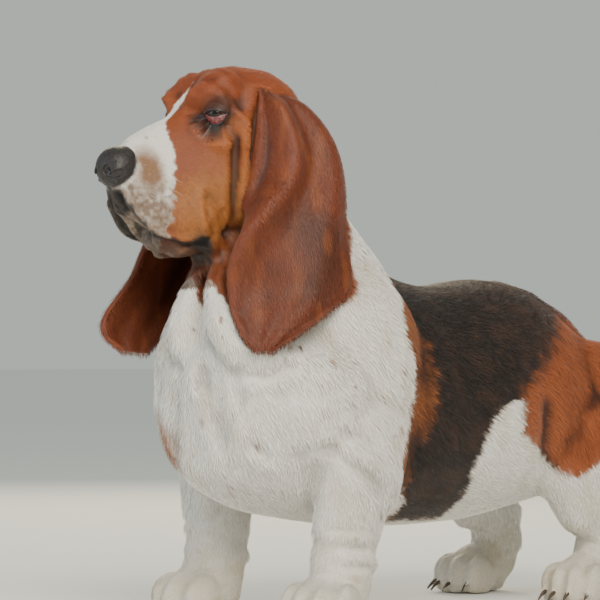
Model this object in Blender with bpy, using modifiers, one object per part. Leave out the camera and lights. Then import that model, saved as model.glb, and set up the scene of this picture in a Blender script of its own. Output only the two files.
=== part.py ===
"""A basset hound standing still, life size, in metres with +Z up.

The nose points to -X and the dog's left side is -Y. The origin is on the floor, under the middle of the
bounding box. The flesh is modelled whole from ellipsoids, tapered limbs and lofts, fused by a voxel remesh,
given its skin folds, and then parted by thin cuts into the named pieces of the body.
"""
import math

import bmesh
import bpy
import numpy as np
from mathutils import Matrix, Vector
from mathutils.bvhtree import BVHTree

# The whole dog
MOVE = Vector((-0.180, 0.000, 0.0))  # from the modelling origin, by the elbows, to the middle of the box
GAP = 0.0003  # between pieces that touch
VOXEL = 0.0034
SMOOTHING = 7
FLESH_TRIANGLES = 6400

# The head, in its own frame: X to the nose, Y to the dog's left, Z up
HEAD_PLACE = Vector((-0.079, 0.0, 0.499))
HEAD_TURN = math.radians(12)  # to the dog's right
HEAD_PITCH = math.radians(11)  # nose down
EYE_PLACE = Vector((0.0535, 0.0365, 0.0155))
EYE_RADIUS = 0.0120
EYE_OUTWARD = math.radians(38)  # the way an eye looks, away from the nose
NOSE_PLACE = Vector((0.1555, 0.0, -0.0205))
NOSE_RADII = Vector((0.0205, 0.0230, 0.0210))

# The ears and the claws
EAR_THICK = 0.0055
EAR_CLEAR = 0.0035  # between an ear's mid surface and the body, beyond half its thickness
CLAW_LENGTH = 0.013
CLAW_RADIUS = 0.0032

WHITE = (0.80, 0.76, 0.68, 1)
TAN = (0.36, 0.11, 0.03, 1)
BLACK = (0.02, 0.015, 0.012, 1)
GREY = (0.05, 0.045, 0.045, 1)
BROWN = (0.10, 0.03, 0.01, 1)

# Along the trunk: place along X, height of the back, height of the belly, half width, taper to the back
TRUNK = (
    (-0.159, 0.262, 0.226, 0.018, 0.0),
    (-0.152, 0.300, 0.180, 0.048, 0.0),
    (-0.130, 0.330, 0.142, 0.078, 0.0),
    (-0.085, 0.350, 0.114, 0.099, 0.05),
    (-0.020, 0.366, 0.100, 0.110, 0.12),
    (0.060, 0.360, 0.090, 0.116, 0.20),
    (0.110, 0.351, 0.088, 0.120, 0.20),
    (0.160, 0.342, 0.088, 0.122, 0.13),
    (0.210, 0.345, 0.090, 0.121, 0.07),
    (0.260, 0.351, 0.096, 0.116, 0.07),
    (0.310, 0.345, 0.104, 0.110, 0.12),
    (0.360, 0.323, 0.118, 0.102, 0.18),
    (0.410, 0.292, 0.140, 0.090, 0.20),
    (0.450, 0.264, 0.166, 0.074, 0.14),
    (0.480, 0.250, 0.196, 0.046, 0.0),
    (0.490, 0.244, 0.216, 0.020, 0.0),
)

# Along the spine, where it stands up over the withers and over the rump: place, half width across, along
WITHERS = (
    ((0.010, 0, 0.345), 0.040, 0.036),
    ((0.075, 0, 0.338), 0.030, 0.029),
    ((0.125, 0, 0.326), 0.024, 0.026),
    ((0.165, 0, 0.316), 0.020, 0.026),
)
CROUP = (
    ((0.300, 0, 0.318), 0.036, 0.033),
    ((0.350, 0, 0.311), 0.031, 0.031),
    ((0.400, 0, 0.293), 0.027, 0.029),
    ((0.450, 0, 0.263), 0.024, 0.027),
)

# Along the head: place along X, top, bottom, half width, taper to the top
SKULL = (
    (-0.060, 0.000, -0.024, 0.010, 0.0),
    (-0.057, 0.014, -0.036, 0.024, 0.0),
    (-0.050, 0.030, -0.050, 0.038, 0.02),
    (-0.034, 0.0465, -0.070, 0.051, 0.04),
    (-0.008, 0.0560, -0.090, 0.058, 0.04),
    (0.020, 0.0610, -0.102, 0.058, 0.06),
    (0.045, 0.0570, -0.106, 0.054, 0.12),
    (0.065, 0.0380, -0.104, 0.049, 0.22),
    (0.085, 0.0220, -0.094, 0.0440, 0.34),
    (0.105, 0.0170, -0.088, 0.0390, 0.38),
    (0.125, 0.0120, -0.083, 0.0340, 0.36),
    (0.142, 0.0045, -0.076, 0.0290, 0.30),
    (0.154, -0.0050, -0.068, 0.0240, 0.20),
    (0.162, -0.0150, -0.060, 0.0170, 0.0),
    (0.166, -0.0280, -0.050, 0.0080, 0.0),
)

# Along the tail: place, half width across, half width along
TAIL = (
    ((0.440, 0, 0.240), 0.028, 0.030),
    ((0.482, 0, 0.249), 0.022, 0.024),
    ((0.522, 0, 0.264), 0.0185, 0.0195),
    ((0.558, 0, 0.293), 0.0160, 0.0165),
    ((0.584, 0, 0.334), 0.0135, 0.0140),
    ((0.596, 0, 0.380), 0.0105, 0.0110),
    ((0.596, 0, 0.420), 0.0060, 0.0060),
)

# Down an ear: front edge, back edge, and how far the middle stands out
EAR_LEFT = (
    ((-0.092, -0.040, 0.524), (-0.070, -0.042, 0.525), 0.002),
    ((-0.108, -0.056, 0.513), (-0.052, -0.057, 0.514), 0.005),
    ((-0.114, -0.067, 0.488), (-0.032, -0.068, 0.490), 0.009),
    ((-0.115, -0.070, 0.462), (-0.024, -0.080, 0.461), 0.010),
    ((-0.119, -0.069, 0.437), (-0.027, -0.090, 0.431), 0.011),
    ((-0.135, -0.067, 0.411), (-0.031, -0.098, 0.400), 0.011),
    ((-0.150, -0.061, 0.386), (-0.034, -0.104, 0.371), 0.010),
    ((-0.160, -0.057, 0.360), (-0.038, -0.109, 0.346), 0.009),
    ((-0.160, -0.056, 0.334), (-0.049, -0.112, 0.324), 0.007),
    ((-0.159, -0.060, 0.306), (-0.080, -0.110, 0.304), 0.006),
    ((-0.153, -0.068, 0.284), (-0.112, -0.101, 0.284), 0.004),
    ((-0.143, -0.077, 0.270), (-0.132, -0.089, 0.270), 0.001),
)
EAR_RIGHT = (
    ((-0.070, 0.044, 0.524), (-0.048, 0.040, 0.525), 0.002),
    ((-0.084, 0.057, 0.513), (-0.029, 0.047, 0.514), 0.005),
    ((-0.094, 0.071, 0.488), (-0.014, 0.056, 0.490), 0.009),
    ((-0.102, 0.080, 0.460), (-0.011, 0.067, 0.461), 0.010),
    ((-0.111, 0.085, 0.434), (-0.015, 0.076, 0.431), 0.011),
    ((-0.115, 0.086, 0.408), (-0.022, 0.080, 0.400), 0.011),
    ((-0.128, 0.088, 0.378), (-0.033, 0.085, 0.370), 0.010),
    ((-0.145, 0.090, 0.350), (-0.050, 0.088, 0.342), 0.009),
    ((-0.172, 0.091, 0.322), (-0.069, 0.090, 0.316), 0.007),
    ((-0.190, 0.091, 0.301), (-0.090, 0.091, 0.296), 0.005),
    ((-0.189, 0.090, 0.285), (-0.108, 0.091, 0.280), 0.002),
    ((-0.169, 0.088, 0.271), (-0.129, 0.090, 0.268), 0.001),
)
EAR_FOLDS = 0.0058  # height of the folds that run down an ear


def clear_scene():
    for thing in list(bpy.data.objects):
        bpy.data.objects.remove(thing)


def collection(name, hidden=False):
    made = bpy.data.collections.new(name)
    made.hide_render = hidden
    bpy.context.scene.collection.children.link(made)
    return made


def coat(name, colour, roughness):
    material = bpy.data.materials.new(name)
    material.use_nodes = True
    shader = material.node_tree.nodes["Principled BSDF"]
    shader.inputs["Base Color"].default_value = colour
    shader.inputs["Roughness"].default_value = roughness
    shader.inputs["Metallic"].default_value = 0.0
    return material


def head_frame():
    """The matrix that takes the head's own frame to the dog's."""
    forward = Vector((-math.cos(HEAD_TURN), math.sin(HEAD_TURN), 0.0))
    left = Vector((-math.sin(HEAD_TURN), -math.cos(HEAD_TURN), 0.0))
    ahead = forward * math.cos(HEAD_PITCH) - Vector((0, 0, 1)) * math.sin(HEAD_PITCH)
    top = forward * math.sin(HEAD_PITCH) + Vector((0, 0, 1)) * math.cos(HEAD_PITCH)
    turned = Matrix((ahead, left, top)).transposed().to_4x4()
    return Matrix.Translation(HEAD_PLACE) @ turned


def ball(bm, centre, radii, lean=(0, 0, 0), detail=1):
    """An ellipsoid, with lean in degrees about X, Y and Z."""
    turn = Matrix.Rotation(math.radians(lean[2]), 4, "Z")
    turn = turn @ Matrix.Rotation(math.radians(lean[1]), 4, "Y")
    turn = turn @ Matrix.Rotation(math.radians(lean[0]), 4, "X")
    place = Matrix.Translation(Vector(centre)) @ turn @ Matrix.Diagonal((*radii, 1))
    bmesh.ops.create_uvsphere(bm, u_segments=20 * detail, v_segments=14 * detail, radius=1, matrix=place)


def pair(bm, centre, radii, lean=(0, 0, 0), detail=1):
    """The same ellipsoid on the left and on the right."""
    ball(bm, centre, radii, lean, detail)
    mirrored = (centre[0], -centre[1], centre[2])
    ball(bm, mirrored, radii, (-lean[0], lean[1], -lean[2]), detail)


def ring(bm, centre, side, up, count, squareness=2.0, taper=0.0):
    """A closed ring of points: an ellipse, squarer past 2, and narrower towards up by the taper."""
    points = []
    for i in range(count):
        angle = 2 * math.pi * i / count
        c, s = math.cos(angle), math.sin(angle)
        wide = math.copysign(abs(c) ** (2 / squareness), c)
        high = math.copysign(abs(s) ** (2 / squareness), s)
        points.append(bm.verts.new(centre + side * wide * (1 - taper * high) + up * high))
    return points


def loft(bm, rings):
    """Skins rings of equal count and closes both ends."""
    count = len(rings[0])
    for low, high in zip(rings, rings[1:]):
        for i in range(count):
            j = (i + 1) % count
            bm.faces.new((low[i], low[j], high[j], high[i]))
    bm.faces.new(list(reversed(rings[0])))
    bm.faces.new(rings[-1])


def tube(bm, joints, side=(0, 1, 0), count=16, grow=0.0):
    """A tapered tube through joints, each (place, half width across, half width along)."""
    places = [Vector(joint[0]) for joint in joints]
    places[0] -= (places[1] - places[0]).normalized() * grow
    places[-1] += (places[-1] - places[-2]).normalized() * grow
    rings = []
    for i, (_, across, along) in enumerate(joints):
        run = (places[min(i + 1, len(places) - 1)] - places[max(i - 1, 0)]).normalized()
        out = (Vector(side) - run * run.dot(Vector(side))).normalized()
        rings.append(ring(bm, places[i], out * (across + grow), run.cross(out) * (along + grow), count))
    loft(bm, rings)


def limb(bm, joints, side=(0, 1, 0), count=16):
    """A tapered tube with rounded ends."""
    tube(bm, joints, side, count)
    for place, across, along in (joints[0], joints[-1]):
        ball(bm, place, (along, across, min(across, along)))


def smooth_curve(xs, ys, wanted):
    """A curve through the points, with slopes taken from their neighbours."""
    slopes = np.gradient(ys, xs)
    place = np.clip(np.searchsorted(xs, wanted) - 1, 0, len(xs) - 2)
    step = xs[place + 1] - xs[place]
    t = np.clip((wanted - xs[place]) / step, 0, 1)
    rise = ys[place + 1] - ys[place]
    start, end = step * slopes[place], step * slopes[place + 1]
    return ys[place] + start * t + (3 * rise - 2 * start - end) * t**2 + (start + end - 2 * rise) * t**3


def stations(table, count):
    """The rows of a table at evenly spaced places along it."""
    table = np.array(table, float)
    wanted = np.linspace(table[0, 0], table[-1, 0], count)
    columns = [smooth_curve(table[:, 0], table[:, column], wanted) for column in range(1, table.shape[1])]
    return zip(wanted, *columns)


def add_loft(bm, table, count, squareness, lift=0.0):
    """A trunk or a head: rings along X, each with its top, bottom, half width and taper."""
    rings = []
    for x, top, bottom, half, taper in stations(table, count):
        centre = Vector((x, 0, (top + bottom) / 2 + lift))
        rings.append(ring(bm, centre, Vector((0, half, 0)), Vector((0, 0, (top - bottom) / 2)), 32,
                          squareness, taper))
    loft(bm, rings)


def add_neck(bm):
    limb(bm, (
        ((0.022, 0, 0.275), 0.098, 0.110),
        ((-0.008, 0, 0.330), 0.090, 0.096),
        ((-0.040, 0, 0.385), 0.076, 0.080),
        ((-0.056, -0.002, 0.430), 0.066, 0.070),
        ((-0.060, -0.004, 0.475), 0.056, 0.060),
    ), count=24)
    pair(bm, (-0.066, 0.045, 0.296), (0.051, 0.042, 0.076), (0, 20, 0))
    # the throat, and the two hanging folds of the dewlap
    ball(bm, (-0.104, 0.000, 0.372), (0.036, 0.034, 0.050), (0, 20, 0))
    limb(bm, (
        ((-0.114, 0.004, 0.366), 0.012, 0.018),
        ((-0.137, 0.006, 0.332), 0.0145, 0.021),
        ((-0.148, 0.011, 0.302), 0.0165, 0.022),
        ((-0.149, 0.013, 0.283), 0.0175, 0.020),
    ))
    limb(bm, (
        ((-0.114, -0.018, 0.366), 0.012, 0.019),
        ((-0.142, -0.033, 0.330), 0.0160, 0.023),
        ((-0.151, -0.046, 0.298), 0.0190, 0.026),
        ((-0.142, -0.059, 0.277), 0.0195, 0.022),
        ((-0.118, -0.071, 0.273), 0.0155, 0.017),
    ))


def add_forelegs(bm):
    for side in (-1, 1):
        # shoulder blade, upper arm and the loose skin over the elbow
        ball(bm, (0.010, 0.076 * side, 0.262), (0.078, 0.046, 0.098), (0, -18, 0))
        ball(bm, (-0.058, 0.086 * side, 0.222), (0.060, 0.036, 0.064), (0, 12, 0))
        ball(bm, (-0.004, 0.096 * side, 0.178), (0.054, 0.034, 0.056))
        limb(bm, (
            ((-0.014, 0.098 * side, 0.166), 0.037, 0.056),
            ((-0.022, 0.098 * side, 0.130), 0.035, 0.047),
            ((-0.028, 0.093 * side, 0.098), 0.032, 0.040),
            ((-0.030, 0.088 * side, 0.072), 0.029, 0.034),
            ((-0.036, 0.090 * side, 0.040), 0.031, 0.034),
        ))
        # loose skin that gathers above the paw
        for height in (0.088, 0.066):
            ball(bm, (-0.030, 0.089 * side, height), (0.040, 0.035, 0.010), (0, 14, 0))
        add_paw(bm, FORE_PAW, side)


def add_hindlegs(bm):
    for side, back in ((-1, 0.0), (1, HIND_STAGGER)):
        ball(bm, (0.388 + back * 0.2, 0.064 * side, 0.212), (0.082, 0.042, 0.074), (0, 30, 0))
        ball(bm, (0.326 + back * 0.4, 0.078 * side, 0.164), (0.060, 0.036, 0.058), (0, 20, 0))
        limb(bm, (
            ((0.358 + back * 0.4, 0.080 * side, 0.190), 0.038, 0.066),
            ((0.336 + back * 0.6, 0.086 * side, 0.136), 0.035, 0.054),
            ((0.358 + back * 0.8, 0.087 * side, 0.106), 0.031, 0.043),
            ((0.384 + back, 0.086 * side, 0.084), 0.026, 0.031),
            ((0.386 + back, 0.086 * side, 0.062), 0.026, 0.028),
            ((0.374 + back, 0.087 * side, 0.036), 0.028, 0.029),
        ))
        ball(bm, (0.406 + back, 0.085 * side, 0.088), (0.016, 0.015, 0.018))
        for height in (0.068, 0.050):
            ball(bm, (0.382 + back, 0.086 * side, height), (0.033, 0.031, 0.009), (0, -10, 0))
        add_paw(bm, HIND_PAW, side, back)


# A paw: place on the floor, length, width, degrees turned out
FORE_PAW = (Vector((-0.050, 0.092, 0.0)), 0.098, 0.082, 12)
HIND_PAW = (Vector((0.350, 0.090, 0.0)), 0.090, 0.074, 7)
HIND_STAGGER = 0.030  # the right hind leg stands this far behind the left one


def paw_frame(paw, side, back=0.0):
    """The matrix that takes a paw's own frame, X to the toes and Y to the dog's left, to the dog's."""
    place, turned = paw[0], paw[3]
    turn = Matrix.Rotation(math.radians(180 - turned * side), 4, "Z")
    return Matrix.Translation((place.x + back, place.y * side, 0.0)) @ turn


def toes(paw):
    """The four toes of a paw in its own frame: place on the floor and degrees each one spreads."""
    _, length, width, _ = paw
    for row in (-1.5, -0.5, 0.5, 1.5):
        reach = length * (0.40 if abs(row) < 1 else 0.27)
        yield Vector((reach, row * width * 0.235, 0.0)), row * 7


def add_paw(bm, paw, side, back=0.0):
    _, length, width, _ = paw
    here = bmesh.new()
    ball(here, (-0.04 * length, 0, 0.026), (0.42 * length, 0.40 * width, 0.030))
    for toe, spread in toes(paw):
        ball(here, (toe.x - 0.10 * length, toe.y, 0.021), (0.26 * length, 0.150 * width, 0.024),
             (0, 8, spread))
        ball(here, (toe.x, toe.y, 0.014), (0.15 * length, 0.135 * width, 0.0175), (0, 0, spread))
    ball(here, (-0.20 * length, 0, 0.012), (0.22 * length, 0.30 * width, 0.015))
    join_into(bm, here, paw_frame(paw, side, back))


def claws(paw, side, back=0.0):
    """The four claws of a paw, as closed tapered hooks."""
    bm = bmesh.new()
    for toe, spread in toes(paw):
        out = Vector((math.cos(math.radians(spread)), math.sin(math.radians(spread)), 0.0))
        root = toe + out * (0.10 * paw[1]) + Vector((0, 0, 0.0125))
        middle = root + out * (CLAW_LENGTH * 0.55) + Vector((0, 0, 0.0005))
        tip = root + out * CLAW_LENGTH + Vector((0, 0, -0.0085))
        tube(bm, ((root, CLAW_RADIUS, CLAW_RADIUS), (middle, CLAW_RADIUS * 0.8, CLAW_RADIUS * 0.85),
                  (tip, CLAW_RADIUS * 0.25, CLAW_RADIUS * 0.3)), out.cross(Vector((0, 0, 1))), 6)
    made = bmesh.new()
    join_into(made, bm, paw_frame(paw, side, back))
    bmesh.ops.recalc_face_normals(made, faces=made.faces)
    return made


def join_into(bm, other, matrix):
    """Moves other by the matrix and adds it to bm."""
    other.transform(matrix)
    mesh = bpy.data.meshes.new("joined")
    other.to_mesh(mesh)
    other.free()
    bm.from_mesh(mesh)
    bpy.data.meshes.remove(mesh)


def add_head(bm):
    here = bmesh.new()
    add_loft(here, SKULL, 36, 2.15)
    # occiput, brows, cheeks and the hanging upper lips
    ball(here, (-0.040, 0, 0.006), (0.022, 0.026, 0.028))
    for side in (-1, 1):
        limb(here, (
            ((0.070, 0.021 * side, 0.028), 0.0118, 0.0118),
            ((0.062, 0.031 * side, 0.0345), 0.0134, 0.0134),
            ((0.050, 0.0385 * side, 0.0285), 0.0132, 0.0132),
            ((0.043, 0.0445 * side, 0.012), 0.0112, 0.0112),
            ((0.042, 0.046 * side, -0.006), 0.0085, 0.0085),
        ), side=(0, 0, 1), count=12)
    pair(here, (0.042, 0.027, 0.0355), (0.028, 0.021, 0.0235), (0, 22, 0))
    pair(here, (0.048, 0.046, -0.010), (0.024, 0.012, 0.020), (0, 0, -14))
    pair(here, (0.020, 0.038, -0.050), (0.056, 0.022, 0.056), (0, 6, -4))
    pair(here, (0.122, 0.026, -0.070), (0.034, 0.0130, 0.031), (0, 14, -12))
    pair(here, (0.098, 0.035, -0.078), (0.036, 0.0120, 0.030), (0, 6, -10))
    pair(here, (0.146, 0.014, -0.055), (0.019, 0.0130, 0.025), (0, 18, -18))
    # lower jaw and the loose corners of the mouth
    ball(here, (0.120, 0, -0.094), (0.021, 0.017, 0.016), (0, 14, 0))
    pair(here, (0.096, 0.016, -0.106), (0.030, 0.013, 0.012), (0, 12, -8))
    pair(here, (0.084, 0.034, -0.108), (0.013, 0.0080, 0.016), (0, 10, 0))
    ball(here, (0.045, 0, -0.100), (0.050, 0.034, 0.026), (0, 12, 0))
    join_into(bm, here, head_frame())


def mesh_object(name, mesh, into):
    made = bpy.data.objects.new(name, mesh)
    into.objects.link(made)
    return made


def object_from(name, bm, into):
    mesh = bpy.data.meshes.new(name)
    bm.to_mesh(mesh)
    bm.free()
    return mesh_object(name, mesh, into)


def settled(thing, modifiers):
    """Puts the modifiers on the object, each (kind, settings), and keeps the mesh that they make."""
    for kind, settings in modifiers:
        modifier = thing.modifiers.new(kind.title(), kind)
        for key, value in settings.items():
            setattr(modifier, key, value)
    graph = bpy.context.evaluated_depsgraph_get()
    made = bpy.data.meshes.new_from_object(thing.evaluated_get(graph))
    thing.modifiers.clear()
    old = thing.data
    thing.data = made
    bpy.data.meshes.remove(old)
    return thing


def fused(name, bm, into, voxel, smoothing):
    """One smooth closed surface round all that bm holds."""
    bmesh.ops.recalc_face_normals(bm, faces=bm.faces)
    return settled(object_from(name, bm, into), (
        ("REMESH", {"mode": "VOXEL", "voxel_size": voxel}),
        ("SMOOTH", {"factor": 0.5, "iterations": smoothing}),
    ))


def places_of(mesh):
    places = np.empty(len(mesh.vertices) * 3)
    mesh.vertices.foreach_get("co", places)
    return places.reshape(-1, 3)


def normals_of(mesh):
    normals = np.empty(len(mesh.vertices) * 3)
    mesh.vertices.foreach_get("normal", normals)
    return normals.reshape(-1, 3)


def set_places(mesh, places):
    mesh.vertices.foreach_set("co", places.ravel())
    mesh.update()


def away_from(places, path):
    """The distance of every place from a line of points."""
    path = np.array(path, float)
    nearest = np.full(len(places), 1e9)
    for start, end in zip(path, path[1:]):
        run = end - start
        t = np.clip(((places - start) @ run) / (run @ run), 0, 1)
        nearest = np.minimum(nearest, np.linalg.norm(places - start - t[:, None] * run, axis=1))
    return nearest


def press(places, normals, path, width, depth):
    """A fold along a line: a groove, or a ridge when depth is negative."""
    amount = depth * np.exp(-(away_from(places, path) / width) ** 2)
    return places - normals * amount[:, None]


def pull(places, centre, by, radius):
    """Moves what lies within the radius of a point, most at the point."""
    off = np.linalg.norm(places - np.array(centre), axis=1) / radius
    amount = np.clip(1 - off**2, 0, None) ** 2
    return places + np.array(by) * amount[:, None]


# Folds of the head, in its frame, on both sides: depth, width and the line
HEAD_FOLDS = (
    (0.0035, 0.0050, ((0.074, 0.014, 0.044), (0.060, 0.030, 0.056), (0.043, 0.045, 0.040),
                      (0.035, 0.054, 0.016), (0.036, 0.057, -0.010))),
    (-0.0035, 0.0060, ((0.074, 0.026, 0.036), (0.063, 0.037, 0.042), (0.050, 0.048, 0.026),
                       (0.044, 0.053, 0.004))),
    (0.0045, 0.0050, ((0.046, 0.056, 0.006), (0.052, 0.058, -0.022), (0.055, 0.058, -0.052),
                      (0.060, 0.056, -0.084))),
    (-0.0035, 0.0060, ((0.034, 0.058, 0.010), (0.039, 0.060, -0.022), (0.042, 0.060, -0.054),
                       (0.048, 0.058, -0.088))),
    (0.0030, 0.0045, ((0.084, 0.050, -0.058), (0.078, 0.050, -0.082), (0.082, 0.048, -0.108))),
    (-0.0020, 0.0060, ((0.092, 0.048, -0.056), (0.090, 0.050, -0.080), (0.094, 0.046, -0.104))),
    (0.0030, 0.0040, ((0.168, 0.000, -0.040), (0.166, 0.000, -0.054), (0.160, 0.000, -0.072))),
    (0.0020, 0.0050, ((0.060, 0.000, 0.045), (0.030, 0.000, 0.063), (0.000, 0.000, 0.062))),
    (0.0020, 0.0050, ((0.016, 0.030, 0.054), (0.030, 0.040, 0.040), (0.030, 0.052, 0.020))),
    (0.0062, 0.0045, ((0.160, 0.008, -0.070), (0.150, 0.018, -0.082), (0.138, 0.024, -0.094),
                      (0.124, 0.028, -0.102), (0.106, 0.034, -0.106), (0.092, 0.040, -0.104))),
)

# Folds of the body: depth, width, on both sides or only one, and the line
BODY_FOLDS = (
    (0.0080, 0.0080, "both", ((-0.090, 0.118, 0.166), (-0.050, 0.134, 0.150), (-0.012, 0.132, 0.132),
                              (0.002, 0.124, 0.106))),
    (-0.0050, 0.0110, "both", ((-0.088, 0.120, 0.186), (-0.046, 0.136, 0.170), (-0.002, 0.134, 0.150),
                               (0.014, 0.126, 0.118))),
    (0.0060, 0.0090, "left", ((-0.104, 0.090, 0.236), (-0.070, 0.114, 0.214), (-0.030, 0.128, 0.214))),
    (0.0050, 0.0080, "both", ((-0.150, 0.030, 0.248), (-0.156, 0.034, 0.220), (-0.146, 0.040, 0.184))),
    (0.0040, 0.0080, "both", ((-0.142, 0.060, 0.250), (-0.132, 0.070, 0.214), (-0.116, 0.078, 0.180))),
    (0.0050, 0.0110, "both", ((0.052, 0.112, 0.330), (0.058, 0.128, 0.280), (0.052, 0.132, 0.220),
                              (0.040, 0.126, 0.160))),
    (0.0060, 0.0110, "both", ((0.262, 0.112, 0.210), (0.262, 0.112, 0.168), (0.276, 0.112, 0.130))),
    (0.0090, 0.0065, "mid", ((-0.128, -0.008, 0.350), (-0.156, -0.015, 0.318), (-0.166, -0.018, 0.290),
                             (-0.164, -0.019, 0.262), (-0.156, -0.018, 0.236))),
)


def sculpt(flesh):
    """The folds, the eye sockets and the flats under the paws."""
    mesh = flesh.data
    head = head_frame()
    places = places_of(mesh)
    for depth, width, line in HEAD_FOLDS:
        normals = normals_of(mesh)
        for side in (-1, 1):
            path = [head @ Vector((x, y * side, z)) for x, y, z in line]
            amount = depth if line[0][1] or line[-1][1] else depth / 2
            places = press(places, normals, path, width, amount)
        set_places(mesh, places)
    for depth, width, which, line in BODY_FOLDS:
        normals = normals_of(mesh)
        for side in {"both": (-1, 1), "left": (-1,), "right": (1,), "mid": (1,)}[which]:
            path = [(x, y * side, z) for x, y, z in line]
            places = press(places, normals, path, width, depth)
        set_places(mesh, places)
    for side in (-1, 1):
        centre, look = eye_of(side)
        places = pull(places, centre + look * 0.010, look * -0.0040, 0.026)
    places[:, 2] = np.maximum(places[:, 2], 0.0)
    set_places(mesh, places)


def eye_of(side):
    """The centre of an eye and the way it looks, in the dog's frame; side is 1 on the dog's left."""
    head = head_frame()
    centre = head @ Vector((EYE_PLACE.x, EYE_PLACE.y * side, EYE_PLACE.z))
    look = head.to_3x3() @ Vector((math.cos(EYE_OUTWARD), math.sin(EYE_OUTWARD) * side, 0.0))
    return centre, look.normalized()


def near_eyes(places):
    nearest = np.full(len(places), 1e9)
    for side in (-1, 1):
        centre, _ = eye_of(side)
        nearest = np.minimum(nearest, np.linalg.norm(places - np.array(centre), axis=1))
    return nearest


def reduce(flesh, triangles):
    """Thins the flesh, keeping most by the eyes, then on the head, then on the paws."""
    places = places_of(flesh.data)
    on_head = np.linalg.norm(places - np.array(head_frame() @ Vector((0.09, 0, -0.03))), axis=1) < 0.105
    weight = np.where(on_head, 0.35, 0.15)
    weight = np.where(places[:, 2] < 0.05, 0.35, weight)
    weight = np.where(near_eyes(places) < 0.018, 0.8, weight)
    group = flesh.vertex_groups.new(name="keep")
    for level in np.unique(weight):
        group.add(np.nonzero(weight == level)[0].tolist(), float(level), "REPLACE")
    flesh.data.calc_loop_triangles()
    settled(flesh, (("DECIMATE", {
        "ratio": triangles / len(flesh.data.loop_triangles), "vertex_group": "keep",
        "invert_vertex_group": True, "vertex_group_factor": 1.6, "use_collapse_triangulate": True,
    }),))
    flesh.vertex_groups.clear()
    places = places_of(flesh.data)
    places[places[:, 2] < 0.0008, 2] = 0.0
    set_places(flesh.data, places)


def make_flesh(helpers):
    bm = bmesh.new()
    add_loft(bm, TRUNK, 40, 2.25)
    limb(bm, WITHERS)
    limb(bm, CROUP)
    add_neck(bm)
    add_forelegs(bm)
    add_hindlegs(bm)
    limb(bm, TAIL, count=14)
    add_head(bm)
    flesh = fused("flesh", bm, helpers, VOXEL, SMOOTHING)
    sculpt(flesh)
    return flesh


def ear_sheet(rows, side, flesh, across=9, down=22):
    """The mid surface of an ear: smooth through its rows, folded lengthwise, and clear of the body."""
    table = np.array([[*front, *back, out] for front, back, out in rows])
    steps = np.linspace(0, len(rows) - 1, down)
    index = np.arange(len(rows), dtype=float)
    smooth = np.array([smooth_curve(index, table[:, column], steps) for column in range(7)]).T
    tree = BVHTree.FromObject(flesh, bpy.context.evaluated_depsgraph_get())
    bm = bmesh.new()
    grid = []
    for i, row in enumerate(smooth):
        front, back, out = Vector(row[0:3]), Vector(row[3:6]), row[6]
        outward = (back - front).cross(Vector((0, 0, 1))).normalized()
        if outward.y * side < 0:
            outward.negate()
        v = i / (down - 1)
        line = []
        for j in range(across):
            u = j / (across - 1)
            fold = math.sin(u * 3 * math.pi + 0.6) * EAR_FOLDS * math.sin(math.pi * min(1, v * 1.3)) ** 0.5
            curl = -0.014 * max(0, 0.25 - u) * 4 * math.sin(math.pi * min(1, v * 1.15)) ** 0.6
            place = front.lerp(back, u) + outward * (out * 4 * u * (1 - u) + fold + curl)
            if v > 0.16:
                place = clear_of(tree, place, outward, EAR_THICK / 2 + EAR_CLEAR)
            line.append(bm.verts.new(place))
        grid.append(line)
    for upper, lower in zip(grid, grid[1:]):
        for j in range(across - 1):
            bm.faces.new((upper[j], upper[j + 1], lower[j + 1], lower[j]))
    return bm


def clear_of(tree, place, outward, distance):
    """Moves a place outwards until it is this far from the body."""
    for _ in range(40):
        near, normal, _, gap = tree.find_nearest(place)
        inside = (place - near).dot(normal) < 0
        if not inside and gap >= distance:
            break
        place = place + outward * 0.002
    return place


def make_ear(name, rows, side, flesh, into):
    ear = object_from(name, ear_sheet(rows, side, flesh), into)
    settled(ear, (
        ("SMOOTH", {"factor": 0.5, "iterations": 2}),
        ("SOLIDIFY", {"thickness": EAR_THICK, "offset": 0.0, "use_even_offset": False}),
        ("SUBSURF", {"levels": 1, "render_levels": 1}),
        ("DECIMATE", {"ratio": 0.29, "use_collapse_triangulate": True}),
    ))
    return turned_out(ear)


def turned_out(thing):
    """Faces the surface outwards."""
    bm = bmesh.new()
    bm.from_mesh(thing.data)
    bmesh.ops.recalc_face_normals(bm, faces=bm.faces)
    if bm.calc_volume(signed=True) < 0:
        bmesh.ops.reverse_faces(bm, faces=bm.faces)
    bm.to_mesh(thing.data)
    bm.free()
    return thing


def grown(name, thing, helpers, by):
    """A copy that is larger by a distance on every side."""
    mesh = thing.data.copy()
    set_places(mesh, places_of(mesh) + normals_of(mesh) * by)
    return mesh_object(name, mesh, helpers)


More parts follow.
